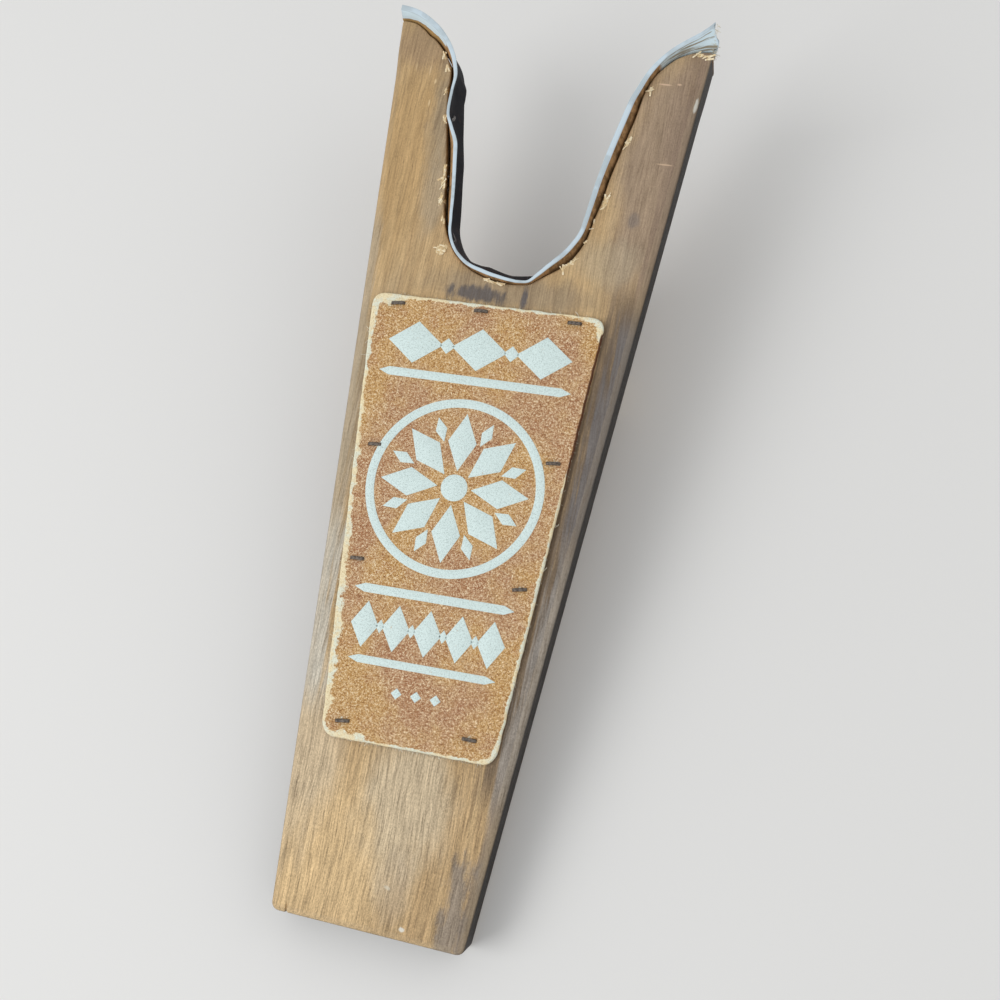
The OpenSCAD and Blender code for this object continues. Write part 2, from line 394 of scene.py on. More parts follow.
class Graph:
    """Short calls that wire a shader or geometry node tree."""

    def __init__(self, tree: Tree) -> None:
        """Starts on a tree."""
        self.tree = tree

    def put(self, into: Socket, value: Value) -> None:
        """Links a socket to a value's socket, or sets its value."""
        if isinstance(value, bpy.types.NodeSocket):
            self.tree.links.new(value, into)
        else:
            into.default_value = value

    def add(self, kind: str, inputs: dict[str | int, Value] | None = None, **settings: object) -> Node:
        """Adds a node.

        Args:
            kind: Blender's type name of the node.
            inputs: Values or sockets for its inputs, by name or number.
            **settings: The node's own properties.

        Returns:
            The node.
        """
        node = self.tree.nodes.new(kind)
        for name, value in settings.items():
            setattr(node, name, value)
        for name, value in (inputs or {}).items():
            self.put(node.inputs[name], value)
        return node

    def math(self, what: str, a: Value, b: Value = 0.0, c: Value = 0.0) -> Socket:
        """Result of a Math node."""
        return self.add("ShaderNodeMath", {0: a, 1: b, 2: c}, operation=what).outputs[0]

    def mul(self, a: Value, b: Value) -> Socket:
        """Product of two values."""
        return self.math("MULTIPLY", a, b)

    def sub(self, a: Value, b: Value) -> Socket:
        """Difference of two values."""
        return self.math("SUBTRACT", a, b)

    def mad(self, a: Value, b: Value, c: Value) -> Socket:
        """Product of two values with a third one added."""
        return self.math("MULTIPLY_ADD", a, b, c)

    def vector(self, what: str, a: Value, b: Value) -> Socket:
        """Vector result of a Vector Math node."""
        return self.add("ShaderNodeVectorMath", {0: a, 1: b}, operation=what).outputs[0]

    def ramp(self, value: Value, low: float, high: float, to: tuple[float, float] = (0.0, 1.0)) -> Socket:
        """Smooth rise of a value between two limits."""
        inputs = {"Value": value, "From Min": low, "From Max": high, "To Min": to[0], "To Max": to[1]}
        return self.add("ShaderNodeMapRange", inputs, interpolation_type="SMOOTHSTEP").outputs[0]

    def mix(self, share: Value, a: Value, b: Value) -> Socket:
        """Colour between two colours."""
        node = self.add("ShaderNodeMix", data_type="RGBA", clamp_factor=True)
        for number, value in ((0, share), (6, a), (7, b)):
            self.put(node.inputs[number], value)
        return node.outputs[2]

    def tint(self, mask: Value, share: float, colour: Value, other: Value) -> Socket:
        """Colour with a share of another one over it where a mask is 1."""
        return self.mix(self.mul(mask, share), colour, other)

    def shade(self, colour: Value, factor: Value) -> Socket:
        """Colour made lighter or darker by a factor."""
        node = self.add("ShaderNodeVectorMath", {0: colour, "Scale": factor}, operation="SCALE")
        return node.outputs[0]

    def noise(self, at: Socket, scale: float, detail: float, rough: float = 0.5, warp: float = 0.0) -> Socket:
        """Value of a Noise Texture, around 0.5."""
        inputs = {"Vector": at, "Scale": scale, "Detail": detail, "Roughness": rough, "Distortion": warp}
        return self.add("ShaderNodeTexNoise", inputs).outputs[0]

    def blots(
        self, at: Socket, scales: Sequence[float], detail: float, rough: float = 0.5, warp: float = 0.0
    ) -> Socket:
        """Noise with a scale of its own along each axis."""
        return self.noise(self.vector("MULTIPLY", at, scales), 1.0, detail, rough, warp)

    def pebbles(self, at: Socket) -> Socket:
        """Distances of a smooth Voronoi Texture."""
        inputs = {"Vector": at, "Scale": 1.0, "Randomness": 1.0}
        return self.add("ShaderNodeTexVoronoi", inputs, feature="SMOOTH_F1").outputs["Distance"]

    def geo(self, kind: str, inputs: dict[str | int, Value], **settings: object) -> Socket:
        """First result of a geometry node."""
        return self.add(f"GeometryNode{kind}", inputs, **settings).outputs[0]

    def mark(self, mark: Mark) -> Socket:
        """Value of a vertex attribute."""
        return self.add("ShaderNodeAttribute", attribute_name=mark.value).outputs["Fac"]

    def group(self, tree: Tree, **inputs: Value) -> Node:
        """Adds a group of shader nodes, its inputs named with underscores for spaces."""
        named = {name.replace("_", " "): value for name, value in inputs.items()}
        return self.add("ShaderNodeGroup", named, node_tree=tree)


def new_tree(
    kind: str, name: str, inputs: Sequence[tuple[str, str, object]], outputs: Sequence[tuple[str, str]]
) -> tuple[Graph, Node, Node]:
    """Makes a node group with named sockets.

    Args:
        kind: Blender's type name of the tree.
        name: Name of the group.
        inputs: Name, socket type and default of each input.
        outputs: Name and socket type of each output.

    Returns:
        The group's graph, its Group Input and its Group Output.
    """
    tree = bpy.data.node_groups.new(name, kind)
    for label, socket, default in inputs:
        made = tree.interface.new_socket(label, in_out="INPUT", socket_type=socket)
        if default is not None:
            made.default_value = default
    for label, socket in outputs:
        tree.interface.new_socket(label, in_out="OUTPUT", socket_type=socket)
    return Graph(tree), tree.nodes.new("NodeGroupInput"), tree.nodes.new("NodeGroupOutput")


FLOAT, VECTOR, SHAPE = "NodeSocketFloat", "NodeSocketVector", "NodeSocketGeometry"


class Effects:
    """Shader node groups that more than one finish uses, built once."""

    def __init__(self) -> None:
        """Builds the groups."""
        self.grain = self._grain()
        self.patch = self._patch()
        self.torn = self._torn()
        self.nap = self._nap()

    @staticmethod
    def _grain() -> Tree:
        """Wood grain along Y: broad bands, fine wavy lines, flecks and short dark pores."""
        g, source, sink = new_tree(
            "ShaderNodeTree",
            "wood grain",
            [("Vector", VECTOR, None), ("Fine", FLOAT, 1.0), ("Pore Share", FLOAT, 0.3)],
            [("Bands", FLOAT), ("Lines", FLOAT), ("Flecks", FLOAT), ("Pores", FLOAT), ("Height", FLOAT)],
        )
        at, fine = source.outputs["Vector"], source.outputs["Fine"]
        wave = g.blots(at, (0.03, 0.012, 0.03), 2.0)
        ripple = g.blots(at, (0.45, 0.3, 0.45), 2.0)
        sway = g.math("ADD", g.mad(wave, 7.0, -3.5), g.mad(ripple, 0.7, -0.35))
        at = g.vector("ADD", at, g.add("ShaderNodeCombineXYZ", {0: sway}).outputs[0])
        scale = g.add("ShaderNodeVectorMath", {0: at, "Scale": fine}, operation="SCALE").outputs[0]
        bands = g.blots(at, (0.22, 0.007, 0.22), 3.0, 0.6)
        lines = g.blots(scale, (0.75, 0.045, 0.75), 2.0, 0.6)
        hair = g.blots(scale, (1.8, 0.075, 1.8), 2.0, 0.7)
        flecks = g.blots(scale, (2.0, 1.0, 2.0), 3.0, 0.85)
        dashes = g.blots(scale, (2.1, 0.2, 2.1), 1.0, 0.4, 0.3)
        mixed = g.mad(hair, 0.78, g.mul(lines, 0.22))
        level = g.sub(0.78, g.mul(source.outputs["Pore Share"], 0.3))
        pores = g.ramp(g.sub(dashes, level), 0.0, 0.08)
        g.put(sink.inputs["Bands"], bands)
        g.put(sink.inputs["Lines"], mixed)
        g.put(sink.inputs["Flecks"], flecks)
        g.put(sink.inputs["Pores"], pores)
        g.put(sink.inputs["Height"], g.sub(mixed, g.mul(pores, 0.35)))
        return g.tree

    @staticmethod
    def _patch() -> Tree:
        """Soft oval patch on the top of the plank, its edge broken up by noise."""
        g, source, sink = new_tree(
            "ShaderNodeTree",
            "patch",
            [
                ("Vector", VECTOR, None),
                ("Centre", VECTOR, (0.0, 0.0, 0.0)),
                ("Reach", VECTOR, (10.0, 10.0, 1000.0)),
                ("Turn", FLOAT, 0.0),
                ("Ragged", FLOAT, 0.4),
                ("Grain Size", FLOAT, 8.0),
            ],
            [("Mask", FLOAT)],
        )
        away = g.vector("SUBTRACT", source.outputs["Vector"], source.outputs["Centre"])
        inputs = {"Vector": away, "Angle": source.outputs["Turn"]}
        turned = g.add("ShaderNodeVectorRotate", inputs, rotation_type="Z_AXIS").outputs[0]
        share = g.vector("DIVIDE", turned, source.outputs["Reach"])
        far = g.add("ShaderNodeVectorMath", {0: share}, operation="LENGTH").outputs["Value"]
        spread = g.vector("DIVIDE", source.outputs["Vector"], source.outputs["Grain Size"])
        rough = g.sub(g.blots(spread, (1.0, 0.35, 1.0), 4.0, 0.6), 0.5)
        far = g.mad(rough, source.outputs["Ragged"], far)
        g.put(sink.inputs["Mask"], g.ramp(far, 1.0, 0.35))
        return g.tree

    @staticmethod
    def _torn() -> Tree:
        """Worn or broken places: a vertex mark whose border is broken up by noise."""
        g, source, sink = new_tree(
            "ShaderNodeTree",
            "torn border",
            [("Vector", VECTOR, None), ("Mark", FLOAT, 0.0), ("Size", FLOAT, 1.0), ("Ragged", FLOAT, 0.6)],
            [("Mask", FLOAT)],
        )
        at = g.vector("DIVIDE", source.outputs["Vector"], source.outputs["Size"])
        rough = g.sub(g.noise(at, 1.0, 4.0, 0.65), 0.5)
        edge = g.mad(rough, source.outputs["Ragged"], source.outputs["Mark"])
        present = g.ramp(source.outputs["Mark"], 0.0, 0.08)
        g.put(sink.inputs["Mask"], g.mul(g.ramp(edge, 0.38, 0.62), present))
        return g.tree

    @staticmethod
    def _nap() -> Tree:
        """Pebbled leather: grains of two sizes and their height."""
        g, source, sink = new_tree(
            "ShaderNodeTree",
            "pebbled nap",
            [("Vector", VECTOR, None), ("Size", FLOAT, 0.8)],
            [("Grains", FLOAT), ("Height", FLOAT)],
        )
        at = g.vector("DIVIDE", source.outputs["Vector"], source.outputs["Size"])
        cell = g.pebbles(at)
        fine = g.noise(at, 2.3, 3.0, 0.7)
        grains = g.mad(fine, 0.7, g.mul(g.noise(at, 0.8, 2.0, 0.6), 0.3))
        pebble = g.sub(1.0, cell)
        g.put(sink.inputs["Grains"], grains)
        g.put(sink.inputs["Height"], g.mad(fine, 0.5, pebble))
        return g.tree


class Skin(Graph):
    """Node tree of one material, from an empty Principled BSDF on."""

    def __init__(self, name: str) -> None:
        """Makes the material."""
        self.material = bpy.data.materials.new(name)
        self.material.use_nodes = True
        super().__init__(self.material.node_tree)
        self.tree.nodes.clear()
        self.shader = self.add("ShaderNodeBsdfPrincipled")
        self.add("ShaderNodeOutputMaterial", {"Surface": self.shader.outputs[0]})

    def place(self, slope: Slope) -> Socket:
        """Object coordinates turned into millimetres on the plank."""
        inputs = {
            "Vector": self.add("ShaderNodeTexCoord").outputs["Object"],
            "Location": (0.0, slope.y * MM, slope.z * MM),
            "Rotation": (math.radians(slope.tilt), 0.0, 0.0),
            "Scale": (MM, MM, MM),
        }
        return self.add("ShaderNodeMapping", inputs, vector_type="TEXTURE").outputs[0]

    def cover(self, colour: Value, rough: Value, gloss: float = 0.5, metal: Value = 0.0) -> Material:
        """Sets the look of the surface.

        Args:
            colour: Colour.
            rough: Roughness, 0 to 1.
            gloss: Specular level.
            metal: Share of metal, 0 to 1.

        Returns:
            The material.
        """
        values = {"Base Color": colour, "Roughness": rough, "Specular IOR Level": gloss, "Metallic": metal}
        for name, value in values.items():
            self.put(self.shader.inputs[name], value)
        return self.material

    def relief(self, height: Socket, depth: float, strength: float) -> None:
        """Gives the surface fine relief.

        Args:
            height: Relief, 0 to 1.
            depth: Depth of the relief in millimetres.
            strength: Strength of the effect.
        """
        inputs = {"Height": height, "Distance": depth * MM, "Strength": strength}
        self.put(self.shader.inputs["Normal"], self.add("ShaderNodeBump", inputs).outputs[0])


# ---------------------------------------------------------------- finishes


@dataclass(frozen=True)
class Patch:
    """A stain, a bleached place or a painted shadow on the plank: centre and half sizes in u and v, turn and
    colour.
    """

    centre: tuple[float, float]
    reach: tuple[float, float]
    colour: Colour
    share: float
    turn: float = 0.0
    ragged: float = 0.9
    size: float = 8.0


@dataclass(frozen=True)
class Band:
    """A dirty or worn band along one side of the plank: sign of the side, depth in from it, start and
    end along the plank, colour, and share of it."""

    side: int
    depth: float
    span: tuple[float, float]
    colour: Colour
    share: float


@dataclass(frozen=True)
class WoodFinish:
    """Worn, stained plank: grain, patches, dirty bands, sides darkened by stain and painted shade, a painted
    shadow beside the panel, and broken, pale notch edges.
    """

    tail_half: float = 36.75
    widening: float = 27.25 / 356
    top: float = 19.0
    patch_depth: float = 12.0
    base: Colour = srgb(180, 152, 113)
    light: Colour = srgb(198, 170, 128)
    dark: Colour = srgb(132, 108, 82)
    pore: Colour = srgb(96, 74, 56)
    # Dark stain of the side walls with painted shade, also on the outer half of the top roundover
    side: Colour = srgb(34, 26, 20)
    wall: Colour = srgb(160, 130, 88)
    raw: Colour = srgb(232, 218, 182)
    straw: Colour = srgb(206, 172, 116)
    worn: Colour = srgb(186, 168, 140)
    under: Colour = srgb(160, 132, 96)
    # Streaks and grain lines of the sides, darkened further as painted shade
    stain_shade_streak: Colour = srgb(19, 15, 12)
    stain_shade_line: Colour = srgb(16, 13, 11)
    wall_dark: Colour = srgb(108, 84, 54)
    lines: float = 2.0
    flecks: float = 1.8
    patches: tuple[Patch, ...] = (
        Patch((-20, 26), (34, 46), srgb(213, 184, 139), 0.85, size=14),
        Patch((-34, 62), (16, 50), srgb(203, 184, 154), 0.8, size=10),
        Patch((5, 50), (22, 42), srgb(202, 186, 158), 0.75, size=10),
        Patch((7, 18), (9, 18), srgb(178, 164, 144), 0.4, size=6),
        Patch((31, 14), (7, 30), srgb(132, 125, 118), 0.75, ragged=2.2, size=4),
        Patch((-45, 200), (12, 60), srgb(160, 146, 124), 0.55, size=9),
        Patch((-50, 300), (18, 60), srgb(184, 152, 106), 0.7, size=16),
        Patch((-52, 343), (20, 13), srgb(158, 134, 106), 0.75, size=6),
        Patch((-36, 318), (10, 34), srgb(156, 142, 120), 0.7, size=5),
        Patch((-34, 282), (9, 22), srgb(168, 154, 132), 0.6, size=5),
        Patch((52, 300), (22, 74), srgb(156, 137, 118), 0.85, size=12),
        Patch((60, 325), (12, 60), srgb(138, 119, 103), 0.65, size=8),
        Patch((40, 262), (16, 14), srgb(172, 158, 134), 0.5, size=6),
        Patch((46, 281), (3, 4.5), srgb(124, 116, 112), 0.55, size=3),
        Patch((3, 246), (46, 10), srgb(150, 134, 112), 0.7, size=7),
        Patch((-9, 243), (13, 4.5), srgb(94, 90, 90), 0.9, ragged=2.4, size=3),
        Patch((10, 243), (1.6, 7), srgb(86, 86, 92), 0.85, ragged=1.6, size=2),
        # Painted shadow of the panel: a thin dark line on the wood along the panel's right edge
        Patch((39.9, 154), (1.1, 88), srgb(82, 66, 50), 0.9, turn=0.049, size=3),
        Patch((46.5, 216), (2.6, 34), srgb(84, 80, 80), 0.8, turn=0.06, ragged=2.0, size=4),
        Patch((42, 128), (2.2, 34), srgb(92, 82, 74), 0.75, turn=0.06, ragged=2.0, size=4),
    )
    bands: tuple[Band, ...] = (
        Band(1, 14.0, (56, 250), srgb(112, 97, 81), 0.85),
        Band(1, 6.0, (50, 150), srgb(150, 147, 143), 0.6),
        Band(1, 7.5, (150, 240), srgb(106, 104, 105), 0.8),
        Band(1, 4.0, (-30, 62), srgb(124, 114, 104), 0.7),
        Band(1, 5.0, (250, 380), srgb(134, 115, 99), 0.7),
        Band(-1, 8.0, (78, 150), srgb(194, 192, 182), 0.75),
        Band(-1, 5.0, (140, 270), srgb(174, 162, 142), 0.6),
    )
    scratches: tuple[Patch, ...] = (
        Patch((53.5, 305), (4.2, 0.45), srgb(206, 178, 150), 0.8, ragged=0.3, size=2),
        Patch((47.8, 338), (3.4, 0.5), srgb(216, 186, 158), 0.85, ragged=0.3, size=2),
        Patch((53.3, 338.6), (1.2, 0.6), srgb(216, 186, 158), 0.7, ragged=0.3, size=2),
        Patch((13.1, 4.4), (1.4, 1.0), srgb(228, 226, 216), 0.9, ragged=1.6, size=1),
        Patch((4.9, 17.3), (1.6, 0.9), srgb(214, 206, 186), 0.7, turn=0.4, ragged=1.6, size=1),
        Patch((-45, 319), (0.5, 2.0), srgb(226, 200, 156), 0.8, ragged=0.6, size=2),
        Patch((61.2, 331), (0.9, 3.8), srgb(222, 222, 214), 0.85, turn=0.08, ragged=1.4, size=1.2),
        Patch((-44.4, 328.4), (0.6, 1.6), srgb(226, 200, 156), 0.8, ragged=0.6, size=2),
        Patch((-47.5, 333), (0.4, 2.6), srgb(214, 188, 148), 0.7, ragged=0.6, size=2),
        Patch((-53.5, 334), (0.4, 2.2), srgb(214, 188, 148), 0.6, ragged=0.6, size=2),
    )

    def make(self, name: str, effects: Effects, slope: Slope) -> Material:
        """Builds the material.

        Args:
            name: Name of the material.
            effects: The shared effects.
            slope: Place of the plank.

        Returns:
            The material.
        """
        g = Skin(name)
        at = g.place(slope)
        grain = g.group(effects.grain, Vector=at, Fine=1.0, Pore_Share=0.3)
        colour: Socket = g.mix(g.ramp(grain.outputs["Bands"], 0.36, 0.66), self.base, self.light)
        for patch in self.patches:
            mask = self._mask(g, effects, at, patch)
            colour = g.tint(mask, patch.share, colour, patch.colour)
        streaks = g.blots(at, (0.42, 0.02, 0.42), 3.0, 0.7)
        for band in self.bands:
            mask = self._along_side(g, at, band, streaks)
            colour = g.tint(mask, band.share, colour, band.colour)
        lines, flecks = grain.outputs["Lines"], grain.outputs["Flecks"]
        rough_zone = g.ramp(g.add("ShaderNodeSeparateXYZ", {0: at}).outputs[1], 230.0, 60.0, (0.55, 1.0))
        tone = g.mul(g.sub(lines, 0.5), self.lines)
        tone = g.mad(g.sub(flecks, 0.5), self.flecks, tone)
        broad = g.mad(streaks, 0.4, -0.2)
        cloud = g.blots(at, (0.2, 0.11, 0.2), 4.0, 0.65)
        broad = g.mad(g.sub(cloud, 0.5), 0.4, broad)
        colour = g.shade(colour, g.math("ADD", g.mad(tone, rough_zone, 1.0), broad))
        dark = g.ramp(lines, 0.5, 0.36)
        colour = g.tint(dark, 0.16, colour, self.dark)
        colour = g.tint(grain.outputs["Pores"], 0.35, colour, self.pore)
        for patch in self.scratches:
            mask = self._mask(g, effects, at, patch)
            colour = g.tint(mask, patch.share, colour, patch.colour)
        # The sides take the dark stain with its painted shade
        lined = g.mul(dark, 0.8)
        stained = g.mix(g.ramp(streaks, 0.4, 0.62), self.side, self.stain_shade_streak)
        stained = g.mix(lined, stained, self.stain_shade_line)
        colour = g.mix(g.mark(Mark.SIDE), colour, stained)
        colour = g.mix(g.mark(Mark.UNDER), colour, g.tint(dark, 0.5, self.under, self.dark))
        walls = g.mix(g.ramp(cloud, 0.42, 0.6), self.wall, self.wall_dark)
        colour = g.mix(g.mark(Mark.WALL), colour, walls)
        rubbed = g.group(effects.torn, Vector=at, Mark=g.mark(Mark.WORN), Size=3.5, Ragged=1.3).outputs[0]
        colour = g.tint(rubbed, 0.16, colour, self.worn)
        broken = g.group(effects.torn, Vector=at, Mark=g.mark(Mark.RAW), Size=1.1, Ragged=1.5).outputs[0]
        splint = g.blots(at, (1.7, 0.5, 1.0), 3.0, 0.7)
        torn = g.mix(g.ramp(splint, 0.42, 0.58), self.straw, self.raw)
        colour = g.mix(g.mul(broken, g.ramp(splint, 0.36, 0.5, (0.35, 0.9))), colour, torn)
        rough = g.mad(cloud, 0.25, 0.42)
        g.relief(g.mad(flecks, 0.5, grain.outputs["Height"]), 0.16, 0.7)
        return g.cover(colour, rough, 0.14)

    def _along_side(self, g: Graph, at: Socket, band: Band, streaks: Socket) -> Socket:
        """Mask of one band, its inner border broken up by the streaks."""
        parts = g.add("ShaderNodeSeparateXYZ", {0: at})
        half = g.mad(parts.outputs[1], self.widening, self.tail_half)
        far = g.mad(parts.outputs[0], -float(band.side), half)
        far = g.mad(g.sub(streaks, 0.5), -band.depth * 2.4, far)
        mask = g.ramp(far, band.depth * 1.15, band.depth * 0.6)
        start, end = band.span
        mask = g.mul(mask, g.ramp(parts.outputs[1], start - 10.0, start + 10.0))
        return g.mul(mask, g.ramp(parts.outputs[1], end + 10.0, end - 10.0))

    def _mask(self, g: Graph, effects: Effects, at: Socket, patch: Patch) -> Socket:
        """Mask of one patch."""
        return g.group(
            effects.patch,
            Vector=at,
            Centre=(*patch.centre, self.top),
            Reach=(*patch.reach, self.patch_depth),
            Turn=patch.turn,
            Ragged=patch.ragged,
            Grain_Size=patch.size,
        ).outputs[0]


@dataclass(frozen=True)
class CleatFinish:
    """Dull stained softwood of the cleat, its grain along the cleat."""

    base: Colour = srgb(176, 146, 108)
    shade: Colour = srgb(120, 92, 64)
    pore: Colour = srgb(86, 64, 46)
    worn: Colour = srgb(205, 184, 148)

    def make(self, name: str, effects: Effects, slope: Slope) -> Material:
        """Builds the material, as WoodFinish.make does."""
        g = Skin(name)
        at = g.place(slope)
        inputs = {"Vector": at, "Angle": math.pi / 2}
        turned = g.add("ShaderNodeVectorRotate", inputs, rotation_type="Z_AXIS")
        grain = g.group(effects.grain, Vector=turned.outputs[0], Fine=0.8, Pore_Share=0.3)
        colour = g.mix(g.ramp(grain.outputs["Bands"], 0.35, 0.65), self.base, self.shade)
        colour = g.tint(g.ramp(grain.outputs["Lines"], 0.55, 0.35), 0.6, colour, self.shade)
        colour = g.tint(grain.outputs["Pores"], 0.5, colour, self.pore)
        worn = g.group(effects.torn, Vector=at, Mark=g.mark(Mark.WORN), Size=2.0, Ragged=0.9).outputs[0]
        colour = g.tint(worn, 0.5, colour, self.worn)
        rough = g.mad(grain.outputs["Lines"], 0.3, 0.5)
        g.relief(grain.outputs["Height"], 0.22, 0.8)
        return g.cover(colour, rough, 0.25)


@dataclass(frozen=True)
class LinerFinish:
    """Leather strip: dark smooth face, tan nap at the back, and pale cut edges and ends, tinted blue-white
    with painted sky light.
    """

    face: Colour = srgb(13, 13, 21)
    face_worn: Colour = srgb(50, 41, 41)
    back: Colour = srgb(180, 142, 100)
    back_dark: Colour = srgb(128, 100, 68)
    # Pale cut edge, tinted blue-white with painted sky light
    cut: Colour = srgb(204, 220, 230)
    cut_dirty: Colour = srgb(160, 170, 172)
    pale: Colour = srgb(208, 226, 234)
    strand: Colour = srgb(142, 132, 112)
    crust: Colour = srgb(184, 150, 98)
    crust_dark: Colour = srgb(96, 70, 44)

    def make(self, name: str, effects: Effects, slope: Slope) -> Material:
        """Builds the material, as WoodFinish.make does."""
        g = Skin(name)
        at = g.place(slope)
        strip = {0: g.mark(Mark.ACROSS), 1: g.mark(Mark.ALONG)}
        strip_at = g.add("ShaderNodeCombineXYZ", strip).outputs[0]
        nap = g.group(effects.nap, Vector=at, Size=0.55)
        scuffs = g.blots(at, (0.35, 0.35, 0.12), 5.0, 0.7)
        middle = g.ramp(g.math("ABSOLUTE", g.mark(Mark.ALONG)), 46.0, 26.0, (0.0, 0.16))
        face = g.mix(g.ramp(g.math("ADD", scuffs, middle), 0.5, 0.75), self.face, self.face_worn)
        streaks = g.blots(strip_at, (2.1, 0.07, 1.0), 3.0, 0.65, 0.4)
        back = g.mix(g.ramp(scuffs, 0.42, 0.62), self.back, self.back_dark)
        right = g.ramp(g.mark(Mark.ALONG), 0.0, 1.0)
        furrow = g.mul(g.ramp(streaks, 0.53, 0.44), g.mad(right, 0.85, 0.08))
        pale = g.mix(furrow, self.pale, self.strand)
        torn = g.group(effects.torn, Vector=at, Mark=g.mark(Mark.PALE), Size=1.3, Ragged=0.5).outputs[0]
        back = g.mix(torn, back, pale)
        crumbs = g.blots(at, (1.1, 1.1, 1.1), 3.0, 0.7)
        crust = g.mix(g.ramp(crumbs, 0.6, 0.66), self.crust, self.crust_dark)
        back = g.tint(g.mark(Mark.CRUST), 0.9, back, crust)
        colour = g.mix(g.ramp(g.mark(Mark.BACK), 0.4, 0.6), face, back)
        # Cut edges and ends: pale leather with painted blue-white sky light
        cut = g.tint(g.ramp(streaks, 0.56, 0.42), 0.45, self.cut, self.cut_dirty)
        edge = g.ramp(g.mark(Mark.CUT), 0.3, 0.6)
        colour = g.mix(edge, colour, cut)
        rough = g.mad(scuffs, 0.25, 0.55)
        rough = g.mad(g.math("MAXIMUM", edge, g.mark(Mark.BACK)), 0.25, rough)
        ridges = g.mul(streaks, g.mul(torn, right))
        g.relief(g.mad(ridges, 4.0, nap.outputs["Height"]), 0.06, 0.6)
        return g.cover(colour, rough, 0.08)


@dataclass(frozen=True)
class PanelFinish:
    """Speckled split leather, worn pale along its edge with a painted highlight on the wear, its cut sides
    dark and its right edge painted in shade.
    """

    brown: Colour = srgb(110, 64, 35)
    tan: Colour = srgb(191, 148, 103)
    cream: Colour = srgb(250, 234, 200)
    ruddy: Colour = srgb(162, 101, 66)
    ochre: Colour = srgb(200, 155, 90)
    worn: Colour = srgb(246, 234, 196)
    # Blue-white painted highlight on the worn border
    wear_highlight: Colour = srgb(234, 241, 224)
    stain: Colour = srgb(196, 160, 104)
    # Dark core of the cut sides, also used as painted shade along the top's right edge
    core: Colour = srgb(74, 52, 36)

    def make(self, name: str, effects: Effects, slope: Slope) -> Material:
        """Builds the material, as WoodFinish.make does."""
        g = Skin(name)
        at = g.place(slope)
        nap = g.group(effects.nap, Vector=at, Size=0.6)
        broad = g.blots(at, (0.035, 0.03, 0.035), 3.0, 0.6)
        tone = g.mix(g.ramp(broad, 0.42, 0.6), self.tan, self.ochre)
        tone = g.tint(g.ramp(broad, 0.5, 0.36), 0.45, tone, self.ruddy)
        cloud = g.blots(at, (0.12, 0.12, 0.12), 5.0, 0.7)
        tone = g.tint(g.ramp(cloud, 0.48, 0.68), 0.4, tone, self.ruddy)
        grains = nap.outputs["Grains"]
        colour = g.mix(g.ramp(grains, 0.495, 0.38), tone, self.brown)
        colour = g.mix(g.ramp(grains, 0.515, 0.6), colour, self.cream)
        worn = g.group(effects.torn, Vector=at, Mark=g.mark(Mark.WORN), Size=1.3, Ragged=1.7).outputs[0]
        # Worn border colour, partly tinted with the painted highlight
        wear_highlight = g.mix(g.ramp(cloud, 0.44, 0.56), self.worn, self.wear_highlight)
        wear_highlight = g.tint(g.ramp(grains, 0.5, 0.4), 0.6, wear_highlight, self.stain)
        colour = g.tint(worn, 0.92, colour, wear_highlight)
        # Cut sides in the core colour, and painted shade along the top's right edge
        side = g.mix(g.ramp(grains, 0.4, 0.6), self.core, self.brown)
        colour = g.mix(g.ramp(g.mark(Mark.SIDE), 0.4, 0.7), colour, side)
        rough = g.mad(grains, 0.3, 0.5)
        g.relief(nap.outputs["Height"], 0.22, 1.0)
        return g.cover(colour, rough, 0.28)


@dataclass(frozen=True)
class PrintFinish:
    """Pale print of the panel's ornament, pressed over the same pebbled leather."""

    base: Colour = srgb(222, 240, 238)
    low: Colour = srgb(170, 186, 182)
    scuff: Colour = srgb(190, 164, 132)

    def make(self, name: str, effects: Effects, slope: Slope) -> Material:
        """Builds the material, as WoodFinish.make does."""
        g = Skin(name)
        at = g.place(slope)
        nap = g.group(effects.nap, Vector=at, Size=0.46)
        colour = g.mix(g.ramp(nap.outputs["Grains"], 0.52, 0.38), self.base, self.low)
        wear = g.blots(at, (0.5, 0.5, 0.5), 6.0, 0.75)
        colour = g.tint(g.ramp(wear, 0.62, 0.72), 0.7, colour, self.scuff)
        rough = g.mad(nap.outputs["Grains"], 0.25, 0.4)
        g.relief(nap.outputs["Height"], 0.08, 0.9)
        return g.cover(colour, rough, 0.35)


@dataclass(frozen=True)
class MetalFinish:
    """Worn metal: clean where it is rubbed and dull where it has darkened."""

    bright: Colour
    dull: Colour
    rough: float
    metallic: float

    def make(self, name: str, effects: Effects, slope: Slope) -> Material:
        """Builds the material, as WoodFinish.make does."""
        g = Skin(name)
        at = g.place(slope)
        spots = g.blots(at, (1.1, 1.1, 1.1), 5.0, 0.7)
        colour = g.mix(g.ramp(spots, 0.42, 0.62), self.bright, self.dull)
        rough = g.mad(spots, 0.3, self.rough)
        metal = g.ramp(spots, 0.7, 0.45, (self.metallic * 0.5, self.metallic))
        grain = g.group(effects.nap, Vector=at, Size=0.25)
        g.relief(grain.outputs["Height"], 0.02, 0.5)
        return g.cover(colour, rough, metal=metal)


@dataclass(frozen=True)
class FibreFinish:
    """Loose leather fibres, cream to grey."""

    light: Colour = srgb(236, 232, 216)
    dark: Colour = srgb(196, 186, 160)

    def make(self, name: str, effects: Effects, slope: Slope) -> Material:
        """Builds the material, as WoodFinish.make does."""
        g = Skin(name)
        at = g.place(slope)
        tone = g.blots(at, (0.6, 0.6, 0.6), 3.0, 0.6)
        return g.cover(g.mix(g.ramp(tone, 0.38, 0.62), self.dark, self.light), 0.8, 0.2)


# ---------------------------------------------------------------- things that repeat


